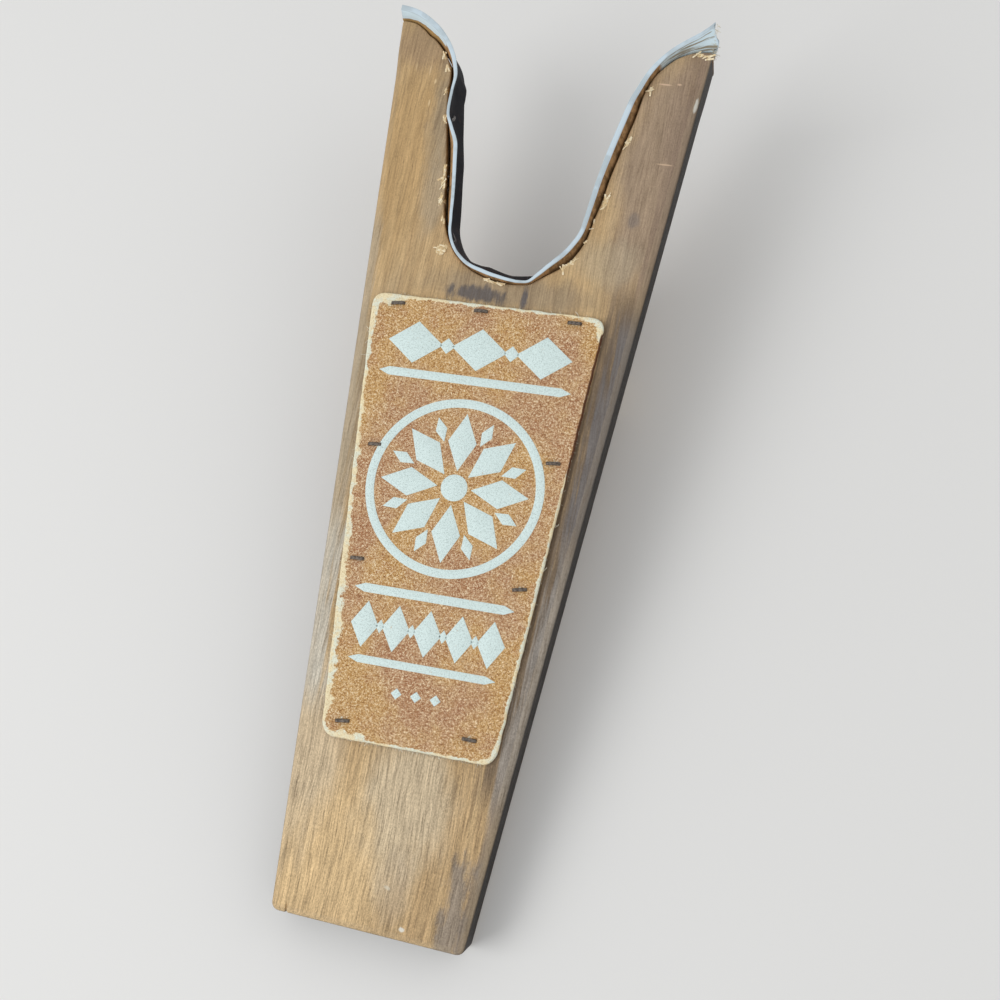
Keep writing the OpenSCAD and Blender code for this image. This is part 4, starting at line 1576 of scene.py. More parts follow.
@dataclass(frozen=True)
class NotchLiner:
    """Leather strip round the notch, held by staples and curled away from the wall at its edges."""

    width: float = 25.4
    thickness: float = 2.0
    proud: float = 3.0
    rounding: float = 0.45
    clearance: float = 0.12
    wall: NotchWall = field(default_factory=NotchWall)
    # Place as a share of half the wall, then the face's distance from the wall at the top edge, the
    # back's at the foot edge, how far the top edge stands above its usual height, and the thickness
    line: tuple[tuple[float, float, float, float, float], ...] = (
        (-1.000, 5.0, 0.2, 1.1, 2.4), (-0.945, 4.3, 0.2, 1.0, 2.4), (-0.900, 3.9, 0.6, 0.7, 2.3),
        (-0.850, 4.1, 1.2, 0.4, 2.1), (-0.808, 4.9, 1.8, 0.2, 1.9), (-0.770, 5.8, 2.2, 0.0, 1.7),
        (-0.735, 6.2, 2.4, 0.0, 1.5), (-0.681, 4.6, 2.6, 0.0, 1.2), (-0.608, 3.0, 2.5, -0.2, 1.2),
        (-0.570, 4.4, 2.4, 0.0, 1.4), (-0.505, 6.6, 2.3, 0.0, 1.7), (-0.464, 6.4, 2.1, 0.0, 1.6),
        (-0.355, 5.7, 1.7, 0.0, 1.4), (-0.275, 4.5, 1.3, 0.0, 1.2), (-0.230, 2.7, 1.3, 0.0, 1.2),
        (-0.178, 1.2, 1.7, 0.0, 1.2), (-0.140, 0.6, 3.6, 0.0, 1.3), (-0.100, 0.9, 5.7, 0.0, 1.4),
        (-0.060, 1.4, 6.0, -0.1, 1.5), (-0.020, 1.2, 6.0, -0.3, 1.4), (0.026, 0.2, 6.3, -0.5, 1.3),
        (0.049, -0.6, 6.4, -0.8, 1.2), (0.068, -1.2, 6.4, -0.9, 1.1), (0.078, -0.9, 6.4, -0.8, 1.2),
        (0.090, 0.0, 6.4, -0.5, 1.4), (0.110, 1.2, 6.0, -0.2, 1.6), (0.152, 2.8, 4.8, 0.0, 1.7),
        (0.180, 3.2, 3.8, 0.0, 1.8), (0.241, 3.3, 2.6, 0.0, 1.8), (0.286, 3.1, 1.8, 0.0, 1.8),
        (0.371, 4.0, 1.2, 0.0, 2.0), (0.461, 5.1, 1.0, 0.0, 2.2), (0.584, 5.6, 1.0, 0.0, 2.4),
        (0.703, 5.5, 1.0, 0.0, 2.3), (0.767, 4.3, 0.8, 0.0, 2.1), (0.814, 3.4, 0.7, 0.1, 2.0),
        (0.851, 3.2, 0.5, 0.2, 1.9), (0.883, 3.5, 0.4, 0.4, 1.8), (0.912, 4.1, 0.3, 0.6, 1.8),
        (0.938, 5.0, 0.3, 0.9, 1.7), (0.962, 6.5, 0.3, 1.1, 1.6), (0.982, 9.0, 0.3, 1.2, 1.5),
        (1.000, 11.0, 0.3, 1.2, 1.4),
    )  # fmt: skip
    held: float = 0.685
    gap: float = 0.35
    rows: int = 12
    steps: int = 420

    def thick(self, s: np.ndarray) -> np.ndarray:
        """Thickness of the strip at distances along the wall from the crotch."""
        return flow(s / self.wall.half, self.line, 4)

    def stand_off(self, s: np.ndarray, level: float) -> np.ndarray:
        """Stand-off of the strip's back from the wall.

        Args:
            s: Distances along the wall from the crotch.
            level: 0 at the foot edge of the strip, 1 at its top edge.

        Returns:
            One stand-off for each distance.
        """
        share = s / self.wall.half
        top = flow(share, self.line, 1) - self.thick(s)
        foot = flow(share, self.line, 2)
        wood = self.wall.uneven(s) + self.clearance
        held = wood + self.gap * ease((top - wood) / 4) * ease((0.86 - np.abs(share)) / 0.08)
        if level > self.held:
            power = 1.3 + 1.2 * ease((np.abs(share) - 0.84) / 0.1)
            off = held + (top - held) * ((level - self.held) / (1 - self.held)) ** power
        else:
            off = held + (foot - held) * ease((self.held - level) / self.held)
        return np.maximum(wood, off)

    def height(self, s: np.ndarray, level: float) -> np.ndarray:
        """Height over the plank's underside, at levels as stand_off takes them."""
        rise = flow(s / self.wall.half, self.line, 3)
        top = self.wall.top + self.proud
        return top - self.width * (1 - level) + rise * level**2

    def skin(self, s: np.ndarray, level: float, depth: float) -> np.ndarray:
        """Points of the strip at a level, and at a depth from its back where it is 2 mm thick."""
        depth_here = depth / self.thickness * self.thick(s)
        return self.wall.place(s, self.height(s, level), self.stand_off(s, level) + depth_here)

    def build(self, finish: Material, slope: Slope) -> Piece:
        """Builds the strip, as Plank.build does."""
        s = np.linspace(-self.wall.half, self.wall.half, self.steps)
        r, t, width = self.rounding, self.thickness, self.width
        low, high = np.linspace(r / width, 0.8, 11), np.linspace(0.82, 1 - r / width, self.rows)
        levels = np.concatenate([low, high])
        turns = np.radians([0, 30, 60, 90])
        loop: list[tuple[float, float, float, float]] = [(level, 0.0, 0.0, 1.0) for level in levels]
        drop = [(r / width * (1 - math.sin(a)), r * (1 - math.cos(a)), a / QUARTER) for a in turns[1:]]
        top = [(1 - down, depth, 1.0, 1 - back) for down, depth, back in drop]
        loop += top + [(level, t - depth, 1.0, 0.0) for level, depth, _, _ in reversed(top)]
        loop += [(level, t, 0.0, 0.0) for level in reversed(levels)]
        foot = [(up, t - depth, 1.0, 0.0) for up, depth, _ in drop]
        loop += foot + [(level, t - depth, 1.0, 0.5) for level, depth, _, _ in reversed(foot)]
        names = ("cut", "back", "pale", "crust", "across", "along")
        columns: list[np.ndarray] = []
        values: dict[str, list[np.ndarray]] = {name: [] for name in names}
        share = s / self.wall.half
        far = np.abs(share)
        for level, depth, is_cut, is_back in loop:
            points = self.skin(s, level, depth)
            ends = ease((np.abs(s) - self.wall.half + 3) / 3)
            ragged = wander(beside(0 * s, 0 * s + level * 40), 2.0, 4.4 + depth)
            trim = 1.1 * ragged - 2.2 * ease((level - 0.86) / 0.14) + 1.0
            points[:, 0] += ends * np.where(s > 0, np.where(level > 0.84, trim, -0.3), 0.15 * ragged)
            columns.append(points)
            high = ease((level - 0.8) / 0.1)
            end_cut = ease((far - 0.994) / 0.004) * high
            border = 0.85 + 0.05 * ease((share + 1) / 0.1)
            border = border + 0.012 * wander(beside(s, 0 * s), 1.5, 3.3)
            left = ease((-share - 0.80) / 0.05) * ease((level - border) / 0.02)
            right = ease((share - 0.80) / 0.08) * ease((level - 0.73) / 0.05)
            crust = ease((-share - 0.81) / 0.05) * ease((border + 0.01 - level) / 0.02)
            marks = (
                np.maximum(is_cut * max(0.0, float(high)), end_cut * 0.9),
                np.full(len(s), is_back),
                np.maximum(left, right) * is_back,
                crust * is_back,
                np.full(len(s), level * width),
                s,
            )
            for name, value in zip(names, marks):
                values[name].append(value + 0 * s)
        rows = [np.array([column[i] for column in columns]) for i in range(len(s))]
        draft = Draft((Mark.CUT, Mark.BACK, Mark.PALE, Mark.CRUST, Mark.ACROSS, Mark.ALONG))
        draft.grid(rows, closed=True, caps=True, **{k: np.array(v).T.ravel() for k, v in values.items()})
        piece = draft.piece("leather_strip", slope.matrix(), [finish], crease=60)
        return seat(piece, Slot.LINER, "notch_liner")


# ---------------------------------------------------------------- the stapled panel


@dataclass(frozen=True)
class LeatherPanel:
    """The panel on top of the plank: a tapered leather sheet with rounded, worn edges."""

    height: float = 172.0
    top_w: float = 93.0
    bottom_w: float = 66.5
    thickness: float = 2.2
    corner_r: float = 5.0
    u: float = -0.8
    v: float = 152.6
    turn: float = 1.6
    plank_t: float = 19.0
    spacing: float = 0.8
    round_r: float = 0.9
    dent: float = 0.45
    # Places where the worn border is wider or narrower: place, reach and how much
    spots: tuple[tuple[float, float, float, float], ...] = (
        (-44, 84, 14.0, 2.6), (-31, -80, 8.0, -1.3), (32, -84, 9.0, 1.4), (-18.5, -84, 3.0, 3.4),
        (44, 84, 10.0, 1.6),
    )  # fmt: skip
    # Staples: place across and along as shares of the half sizes, and turn in degrees
    staples: tuple[tuple[float, float, float], ...] = (
        (-0.77, 0.957, 7.0),
        (-0.05, 0.966, 1.5),
        (0.75, 0.962, 1.5),
        (-0.81, 0.295, 5.0),
        (-0.84, -0.222, 2.5),
        (0.85, 0.322, 5.5),
        (0.82, -0.245, 10.5),
        (-0.77, -0.927, 7.5),
        (0.665, -0.908, -0.5),
    )

    def place(self, slope: Slope) -> Matrix:
        """Matrix from the panel's millimetres to metres in the room."""
        turn = Matrix.Rotation(math.radians(self.turn), 4, "Z")
        return slope.matrix() @ Matrix.Translation((self.u, self.v, self.plank_t)) @ turn

    def half_width(self, y: np.ndarray | float) -> np.ndarray | float:
        """Half of the panel's width at a height over its middle."""
        return (self.top_w + self.bottom_w) / 4 + y * (self.top_w - self.bottom_w) / 2 / self.height

    def staple_points(self) -> list[tuple[float, float, float]]:
        """Place of each staple on the panel, and its turn in degrees."""
        half = self.height / 2
        return [(a * self.half_width(b * half), b * half, turn) for a, b, turn in self.staples]

    def reach(self, y: float) -> float:
        """Half of the panel's width at a height, less what its rounded corners take."""
        edge = self.height / 2 - abs(y)
        r = self.corner_r
        inset = r - math.sqrt(max(0.0, r * r - (r - edge) ** 2)) if edge < r else 0.0
        return float(self.half_width(y)) - inset

    def rise(self, x: np.ndarray, y: np.ndarray, edge: np.ndarray) -> np.ndarray:
        """Height of the panel's top over the plank.

        Args:
            x: Places across the panel.
            y: Places along it.
            edge: Distances from its edge.

        Returns:
            Heights.
        """
        r = self.round_r
        inside = np.clip(edge, 0, r)
        z = self.thickness - (r - np.sqrt(np.maximum(0, r * r - (r - inside) ** 2)))
        at = beside(x, y)
        z = z + 0.05 * wander(at, 14.0, 2.2) * ease(edge / 3)
        z = z + 0.035 * wander(at, 2.2, 8.8) * ease(edge / 1.5)
        for sx, sy, turn in self.staple_points():
            angle = math.radians(turn)
            dx, dy = x - sx, y - sy
            along = dx * math.cos(angle) + dy * math.sin(angle)
            across = dy * math.cos(angle) - dx * math.sin(angle)
            far = np.hypot(np.maximum(0, np.abs(along) - 2.6), across)
            z = z - self.dent * bump(np.maximum(0, far - 0.7), 2.2)
        return z

    def wear(self, x: np.ndarray, y: np.ndarray, edge: np.ndarray) -> np.ndarray:
        """Strength of the pale worn border at places on the panel, as rise takes them."""
        side = x / np.maximum(1.0, self.half_width(y))
        low = ease(0.5 - y / self.height * 1.2)
        width = 1.0 + 1.2 * ease(-side * 3 - 1.4) * (0.6 + 0.9 * low) + 0.3 * ease((y - 60) / 20)
        for at_x, at_y, reach, more in self.spots:
            width = width + more * bump(np.hypot(x - at_x, y - at_y), reach)
        # No worn border on the upper right, where the top's edge is painted in shade instead
        width = width * (1 - 0.92 * ease((side - 0.8) / 0.1) * ease((80 - y) / 6) * ease((y - 8) / 30))
        width = width * (1 + 0.7 * wander(beside(x, y), 4.0, 6.1))
        strength = 0.95 * ease(1.25 - edge / np.maximum(0.4, width) * 0.75)
        for sx, sy, _ in self.staple_points():
            strength = np.maximum(strength, 0.42 * bump(np.hypot((x - sx) / 1.5, y - sy), 3.4))
        return strength

    def build(self, finish: Material, slope: Slope) -> Piece:
        """Builds the panel, as Plank.build does."""
        half = self.height / 2
        near = np.array([0, 0.12, 0.3, 0.55, 0.85, 1.25])
        corner = self.corner_r * (1 - np.cos(np.radians(np.linspace(0, 90, 10))))
        ends = np.unique(np.round(np.concatenate([near, corner]), 3))
        middle = np.arange(-half + self.corner_r + self.spacing, half - self.corner_r, self.spacing)
        ys = np.concatenate([-half + ends, middle, (half - ends)[::-1]])
        count = int((self.top_w + self.bottom_w) / 2 / self.spacing)
        top, sides, worn = [], [], []
        for y in ys:
            reach = self.reach(float(y))
            inner = np.linspace(-1, 1, count) * (reach - 1.7)
            x = np.concatenate([-reach + near, inner, (reach - near)[::-1]])
            edge = np.minimum(reach - np.abs(x), half - abs(y))
            edge_y = half - abs(y)
            if edge_y < self.corner_r:
                corner_x = np.abs(x) - (self.half_width(y) - self.corner_r)
                depth = self.corner_r - np.hypot(np.maximum(0, corner_x), self.corner_r - edge_y)
                edge = np.where(corner_x > 0, depth, edge_y)
            edge = np.maximum(0.0, edge)
            z = self.rise(x, np.full(len(x), y), edge)
            shift = 0.28 * wander(beside(np.sign(x) * 50, 0 * x + y), 4.5, 9.1)
            shift_y = 0.25 * wander(beside(x, 0 * x + np.sign(y) * 90), 4.5, 7.3)
            hold = ease(1 - edge / 4)
            top.append(beside(x + hold * shift, y + hold * shift_y, z))
            # Painted shade along the right edge of the top, wider towards the top end
            dark = 0.25 + 0.6 * ease((y - 8) / 30)
            sides.append(0.9 * ease((x - reach + dark) / 0.5) * ease((82 - abs(y)) / 4))
            worn.append(self.wear(x, np.full(len(x), y), edge))
        draft = Draft((Mark.WORN, Mark.SIDE))
        draft.grid(top, closed=False, caps=False, worn=np.concatenate(worn), side=np.concatenate(sides))
        wide, high = len(top[0]), len(top)
        loop = [(0, c) for c in range(wide)] + [(r, wide - 1) for r in range(1, high)]
        loop += [(high - 1, c) for c in range(wide - 2, -1, -1)] + [(r, 0) for r in range(high - 2, 0, -1)]
        rim = np.array([top[r][c] for r, c in loop])
        rim_wear = np.array([worn[r][c] for r, c in loop])
        rows, sides_, wears = [], [], []
        for share in (0.0, 0.25, 0.6, 1.0):
            level = rim.copy()
            level[:, 2] *= 1 - share
            rows.append(level)
            sides_.append(np.full(len(rim), min(1.0, share * 3)))
            wears.append(rim_wear * (1 - 0.8 * share))
        draft.grid(rows, closed=True, caps=False, side=np.concatenate(sides_), worn=np.concatenate(wears))
        draft.add(rows[-1], [tuple(range(len(rim)))], side=np.ones(len(rim)))
        piece = draft.piece("leather_panel", self.place(slope), [finish], crease=60)
        return seat(piece, Slot.PANEL, "label_panel")


@dataclass(frozen=True)
class Ornament:
    """Plain print on the panel: a star in a ring, between bars and rows of lozenges."""

    raised: float = 0.13
    sunk: float = 0.25
    star_y: float = 13.0
    petals: int = 8
    petal_in: float = 6.5
    petal_out: float = 29.0
    petal_half: float = 5.6
    bud_at: float = 23.4
    bud_half_w: float = 2.3
    bud_half_h: float = 5.0
    hub_r: float = 5.2
    ring_in: float = 31.2
    ring_out: float = 34.6
    bar_point: float = 4.0
    ease_r: float = 0.12
    # Bars: place along the panel, half length and half height
    bars: tuple[tuple[float, float, float], ...] = ((55.0, 38.0, 1.7), (-29.5, 31.0, 1.7), (-56.0, 28.5, 1.5))
    # Rows of lozenges: place along the panel, number, spacing, half width and half height
    rows: tuple[tuple[float, int, float, float, float], ...] = (
        (67.5, 3, 25.5, 11.0, 8.4),
        (67.5, 2, 25.5, 3.2, 3.2),
        (-43.0, 5, 12.2, 5.4, 8.8),
        (-43.0, 4, 12.2, 1.7, 2.6),
        (-66.5, 3, 7.5, 2.1, 2.1),
    )

    def shapes(self) -> list[tuple[float, float, float, float, float]]:
        """Lozenges of the print: place across and along, half width, half height and turn."""
        made: list[tuple[float, float, float, float, float]] = []
        for y, number, gap, half_w, half_h in self.rows:
            for i in range(number):
                made.append(((i - (number - 1) / 2) * gap, y, half_w, half_h, 0.0))
        for i in range(self.petals):
            angle = 2 * math.pi * i / self.petals
            middle, long = (self.petal_in + self.petal_out) / 2, (self.petal_out - self.petal_in) / 2
            made.append((*self._round(angle, middle), self.petal_half, long, -angle))
            angle += math.pi / self.petals
            made.append((*self._round(angle, self.bud_at), self.bud_half_w, self.bud_half_h, -angle))
        return made

    def _round(self, angle: float, radius: float) -> tuple[float, float]:
        """Place at an angle and a distance from the middle of the star."""
        return radius * math.sin(angle), self.star_y + radius * math.cos(angle)

    def build(self, finish: Material, panel: LeatherPanel, scatter: Scatter, slope: Slope) -> Piece:
        """Builds the print.

        Args:
            finish: Its material.
            panel: The panel that it lies on.
            scatter: The trees that repeat shapes.
            slope: Place of the plank.

        Returns:
            The piece.
        """
        shapes = self.shapes()
        base = panel.thickness - self.sunk
        tall = self.raised + self.sunk
        points = np.array([(x, y, base) for x, y, *_ in shapes])
        turns = np.array([(0.0, 0.0, turn) for *_, turn in shapes])
        sizes = np.array([(half_w, half_h, tall) for _, _, half_w, half_h, _ in shapes])
        place, marks = panel.place(slope), {Mark.TURN: turns, Mark.SIZE: sizes}
        lozenges = grow("lozenges", scatter.lozenges, points, place, marks, {"Sides": 4, "Finish": finish})
        draft = Draft()
        for y, half_l, half_h in self.bars:
            flat = half_l - self.bar_point
            outline = [
                (-half_l, y), (-flat, y - half_h), (flat, y - half_h),
                (half_l, y), (flat, y + half_h), (-flat, y + half_h),
            ]  # fmt: skip
            low = np.array([(*p, base) for p in outline])
            draft.grid([low, low + [0, 0, tall]], closed=True, caps=True)
        turn = np.linspace(0, 2 * math.pi, 96, endpoint=False)
        circle = beside(np.cos(turn), np.sin(turn))
        rows = []
        inner, outer = self.ring_in, self.ring_out
        for radius, level in ((inner, 0.0), (outer, 0.0), (outer, 1.0), (inner, 1.0), (inner, 0.0)):
            flat = circle * radius + [0, self.star_y]
            rows.append(beside(flat, np.full(len(turn), base + tall * level)))
        draft.grid(rows, closed=True, caps=False)
        hub = circle[::4] * self.hub_r + [0, self.star_y]
        low = beside(hub, np.full(len(hub), base))
        draft.grid([low, low + [0, 0, tall]], closed=True, caps=True)
        rest = draft.piece("printed_ornament", place, [finish])
        merged = bmesh.new()
        merged.from_mesh(rest.data)
        merged.from_mesh(lozenges)
        merged.to_mesh(rest.data)
        merged.free()
        piece = finish_piece("printed_ornament", eased(rest, self.ease_r, 2, 40), [finish], 35)
        return seat(piece, Slot.PANEL)


# ---------------------------------------------------------------- staples and loose fibres


@dataclass(frozen=True)
class Staples:
    """Staple wire, and the turn of the liner's staples at their shares of half the wall."""

    crown: float = 5.7
    leg: float = 10.0
    wire_w: float = 1.3
    wire_t: float = 0.9
    bend: float = 0.75
    rounding: float = 0.28
    drop: float = 5.0
    sink: float = 0.3
    holds: tuple[tuple[float, float], ...] = (
        (-0.8, 20), (-0.615, -55), (-0.41, 10), (-0.23, -25), (0.068, 8),
        (0.205, 15), (0.4, -12), (0.577, 20), (0.76, -8),
    )  # fmt: skip

    def _build(
        self, name: str, finish: Material, scatter: Scatter, rows: Sequence[tuple], place: Matrix
    ) -> Piece:
        """Builds the staples of one piece.

        Args:
            name: Name of the piece.
            finish: Their material.
            scatter: The trees that repeat shapes.
            rows: Point and turn of each staple.
            place: Matrix from these millimetres to metres in the room.

        Returns:
            The object, before it is seated.
        """
        values = {"Crown": self.crown, "Leg": self.leg, "Bend": self.bend, "Rounding": self.rounding}
        values |= {"Wire Width": self.wire_w, "Wire Thickness": self.wire_t, "Finish": finish}
        points, turns = (np.array(column) for column in zip(*rows))
        mesh = grow(name, scatter.staples, points, place, {Mark.TURN: turns}, values)
        return finish_piece(name, mesh, [finish], 50)

    def build_panel(self, finish: Material, panel: LeatherPanel, scatter: Scatter, slope: Slope) -> Piece:
        """Builds the panel's staples, as Ornament.build does."""
        level = panel.thickness - self.sink
        rows = [((x, y, level), (0.0, 0.0, math.radians(turn))) for x, y, turn in panel.staple_points()]
        piece = self._build("panel_staples", finish, scatter, rows, panel.place(slope))
        nodes = ("label_staples_top", "label_staples_left", "label_staples_right", "label_staples_bottom")
        return seat(piece, Slot.WIRE, *nodes)

    def build_liner(self, finish: Material, liner: NotchLiner, scatter: Scatter, slope: Slope) -> Piece:
        """Builds the liner's staples.

        Args:
            finish: Their material.
            liner: The strip that they hold.
            scatter: The trees that repeat shapes.
            slope: Place of the plank.

        Returns:
            The piece.
        """
        rows = []
        level = 1 - (liner.proud + self.drop) / liner.width
        for share, turn in self.holds:
            s = np.array([share * liner.wall.half])
            here = liner.skin(s, level, liner.thickness - 0.15)[0]
            above = liner.skin(s, level + 0.05, liner.thickness)[0]
            below = liner.skin(s, level - 0.05, liner.thickness)[0]
            after = liner.skin(s + 1.0, level, liner.thickness)[0]
            up = Vector(above - below).normalized()
            out = Vector(after - here).cross(up).normalized()
            flat = liner.wall.normal(s)[0]
            if out.x * flat[0] + out.y * flat[1] < 0:
                out.negate()
            along = up.cross(out).normalized()
            basis = Matrix((along, up, out)).transposed()
            spin = basis @ Matrix.Rotation(math.radians(turn), 3, "Z")
            rows.append((here, tuple(spin.to_euler())))
        piece = self._build("strip_staples", finish, scatter, rows, slope.matrix())
        nodes = ("liner_staples_left", "liner_staple_crotch", "liner_staples_right")
        return seat(piece, Slot.WIRE, *nodes)


class Strands:
    """Strands of one piece: where each one stands, how it is turned and how big it is."""

    def __init__(self, seed: int) -> None:
        """Starts with no strand."""
        self.draw = np.random.default_rng(seed)
        self.points: list[Sequence[float]] = []
        self.turns: list[tuple[float, float, float]] = []
        self.sizes: list[tuple[float, float, float]] = []

    def turn(self, yaw: float, tilt: float, spin: tuple[float, float]) -> None:
        """Adds the turn of the next strand, with a random spin in a range about its own axis."""
        aim = Matrix.Rotation(yaw, 3, "Z") @ Matrix.Rotation(tilt, 3, "Y")
        self.turns.append(tuple((aim @ Matrix.Rotation(self.draw.uniform(*spin), 3, "Z")).to_euler()))

    def build(
        self,
        name: str,
        tree: Tree,
        place: Matrix,
        slot: Slot,
        values: dict[str, object],
    ) -> Piece:
        """Builds the piece.

        Args:
            name: Name of the piece.
            tree: The tree that repeats the strand.
            place: Matrix from the strands' millimetres to metres in the room.
            slot: Slot of the record that its finish comes from.
            values: Values of the tree's inputs, with the finish.

        Returns:
            The piece.
        """
        marks = {Mark.TURN: np.array(self.turns), Mark.SIZE: np.array(self.sizes)}
        mesh = grow(name, tree, np.array(self.points), place, marks, values)
        return seat(finish_piece(name, mesh, [values["Finish"]], 60), slot)


@dataclass(frozen=True)
class Fibres:
    """Loose fibres along the panel's worn edge and at the ends of the strip."""

    seed: int = 11
    panel_count: int = 620
    strip_count: int = 150
    thickness: float = 0.045
    any_spin: tuple[float, float] = (0.0, 6.28)
    small_spin: tuple[float, float] = (-0.6, 0.6)

    def build_panel(self, finish: Material, panel: LeatherPanel, scatter: Scatter, slope: Slope) -> Piece:
        """Builds the fibres round the panel, as Ornament.build does."""
        strands = Strands(self.seed)
        draw, half = strands.draw, panel.height / 2
        while len(strands.points) < self.panel_count:
            side = draw.choice(["left", "right", "top", "low"], p=[0.3, 0.12, 0.2, 0.38])
            t = draw.uniform(-1, 1)
            if side in ("left", "right"):
                sign = -1 if side == "left" else 1
                y = t * (half - 5)
                x = sign * (panel.reach(y) - 0.15)
                out = math.atan2(0, sign)
            else:
                sign = 1 if side == "top" else -1
                y = sign * (half - 0.15)
                x = t * (panel.half_width(y) - 5)
                out = sign * math.pi / 2
            strands.points.append((x, y, draw.uniform(0.25, 1.2)))
            yaw = out + draw.normal(0, 0.7)
            strands.turn(yaw, math.pi / 2 + draw.normal(0.05, 0.22), self.any_spin)
            length = min(2.6, draw.lognormal(-0.45, 0.5))
            strands.sizes.append((length * 0.8 + 0.3, length * 0.8 + 0.3, length))
        values = {"Thickness": self.thickness, "Curl": 0.55, "Finish": finish}
        return strands.build("panel_fibres", scatter.fibres, panel.place(slope), Slot.PANEL, values)

    def build_splinters(self, finish: Material, plank: Plank, scatter: Scatter, slope: Slope) -> Piece:
        """Builds the loose splinters at the plank's chips.

        Args:
            finish: Their material.
            plank: The plank that they are torn from.
            scatter: The trees that repeat shapes.
            slope: Place of the plank.

        Returns:
            The piece.
        """
        strands = Strands(self.seed + 2)
        draw, wall = strands.draw, plank.wall
        for chip in (chip for chip in plank.chips for _ in range(chip.splinters)):
            s = np.array([chip.share * wall.half + draw.uniform(-0.9, 0.9) * chip.length])
            inset = max(0.35, chip.inset + draw.uniform(-0.9, 0.9) * chip.width)
            here = wall.place(s, plank.thickness - 0.05, wall.uneven(s) - inset)[0]
            yaw = math.radians(90 + chip.aim + draw.normal(0, 16) + 180 * (draw.random() > 0.5))
            tilt = math.radians(86 - abs(draw.normal(0, 9)))
            length = min(4.8, draw.lognormal(0.7, 0.45))
            strands.points.append(here - Vector((math.cos(yaw), math.sin(yaw), 0)) * length * 0.4)
            strands.turn(yaw, tilt, self.small_spin)
            strands.sizes.append((0.9, draw.uniform(2.0, 5.2), length))
        values = {"Thickness": self.thickness * 1.8, "Curl": 0.12, "Finish": finish}
        return strands.build("torn_splinters", scatter.fibres, slope.matrix(), Slot.PLANK, values)

    def build_strip(self, finish: Material, liner: NotchLiner, scatter: Scatter, slope: Slope) -> Piece:
        """Builds the fibres at the strip's ends, as Staples.build_liner does."""
        strands = Strands(self.seed + 1)
        draw = strands.draw
        for number in range(self.strip_count):
            right = number % 5 > 0
            level = draw.uniform(0.55 if right else 0.7, 1.0)
            s = np.array([(1 if right else -1) * (liner.wall.half - draw.uniform(0.0, 1.2))])
            strands.points.append(liner.skin(s, level, draw.uniform(0.1, liner.thickness - 0.1))[0])
            yaw = draw.normal(-0.5, 0.6) if right else math.pi + draw.normal(0.0, 0.6)
            strands.turn(yaw, math.pi / 2 + draw.normal(0.25, 0.35), self.any_spin)
            length = min(2.4 if right else 1.2, draw.lognormal(-0.1 if right else -0.7, 0.5))
            strands.sizes.append((length * 0.6 + 0.3, length * 0.6 + 0.3, length))
        values = {"Thickness": self.thickness * 1.3, "Curl": 0.6, "Finish": finish}
        return strands.build("strip_fibres", scatter.fibres, slope.matrix(), Slot.LINER, values)


# ---------------------------------------------------------------- the cleat and its screws


@dataclass(frozen=True)
class Cleat:
    """Riser cleat under the fork, square to the plank with its foot planed level."""

    length: float = 90.0
    thickness: float = 19.0
    v: float = 226.0
    bevel: float = 1.0
    ease_r: float = 0.7
    worn_l: float = 1.5

    def foot(self, v: float, slope: Slope) -> float:
        """Height of the floor in the plank's frame, at a distance from the tail."""
        angle = math.radians(slope.tilt)
        return (-slope.z - v * math.sin(angle)) / math.cos(angle)

    def build(self, finish: Material, slope: Slope) -> Piece:
        """Builds the cleat, as Plank.build does."""
        back, front = self.v - self.thickness / 2, self.v + self.thickness / 2
        low_back = self.foot(back + self.bevel, slope)
        low_front = self.foot(front - self.bevel, slope)
        profile = [
            (back, 0.0), (back, self.foot(back, slope) + self.bevel), (back + self.bevel, low_back),
            (front - self.bevel, low_front), (front, self.foot(front, slope) + self.bevel), (front, 0.0),
        ]  # fmt: skip
        rows = []
        for u in np.linspace(-self.length / 2, self.length / 2, 31):
            rows.append(np.array([(u, v, w) for v, w in profile]))
        draft = Draft()
        draft.grid(rows, closed=True, caps=True)
        rough = draft.piece("cross_cleat", slope.matrix(), [finish])
        mesh = eased(rough, self.ease_r, 3, 50)
        worn = mesh.attributes.new(Mark.WORN.value, "FLOAT", "POINT")
        start = (self.length / 2 - self.worn_l) * MM
        shares = [float(ease((abs(v.co.x) - start) / (self.worn_l * MM))) for v in mesh.vertices]
        worn.data.foreach_set("value", shares)
        return seat(finish_piece("cross_cleat", mesh, [finish], 40), Slot.CLEAT, "riser_cleat")


# ---------------------------------------------------------------- the room


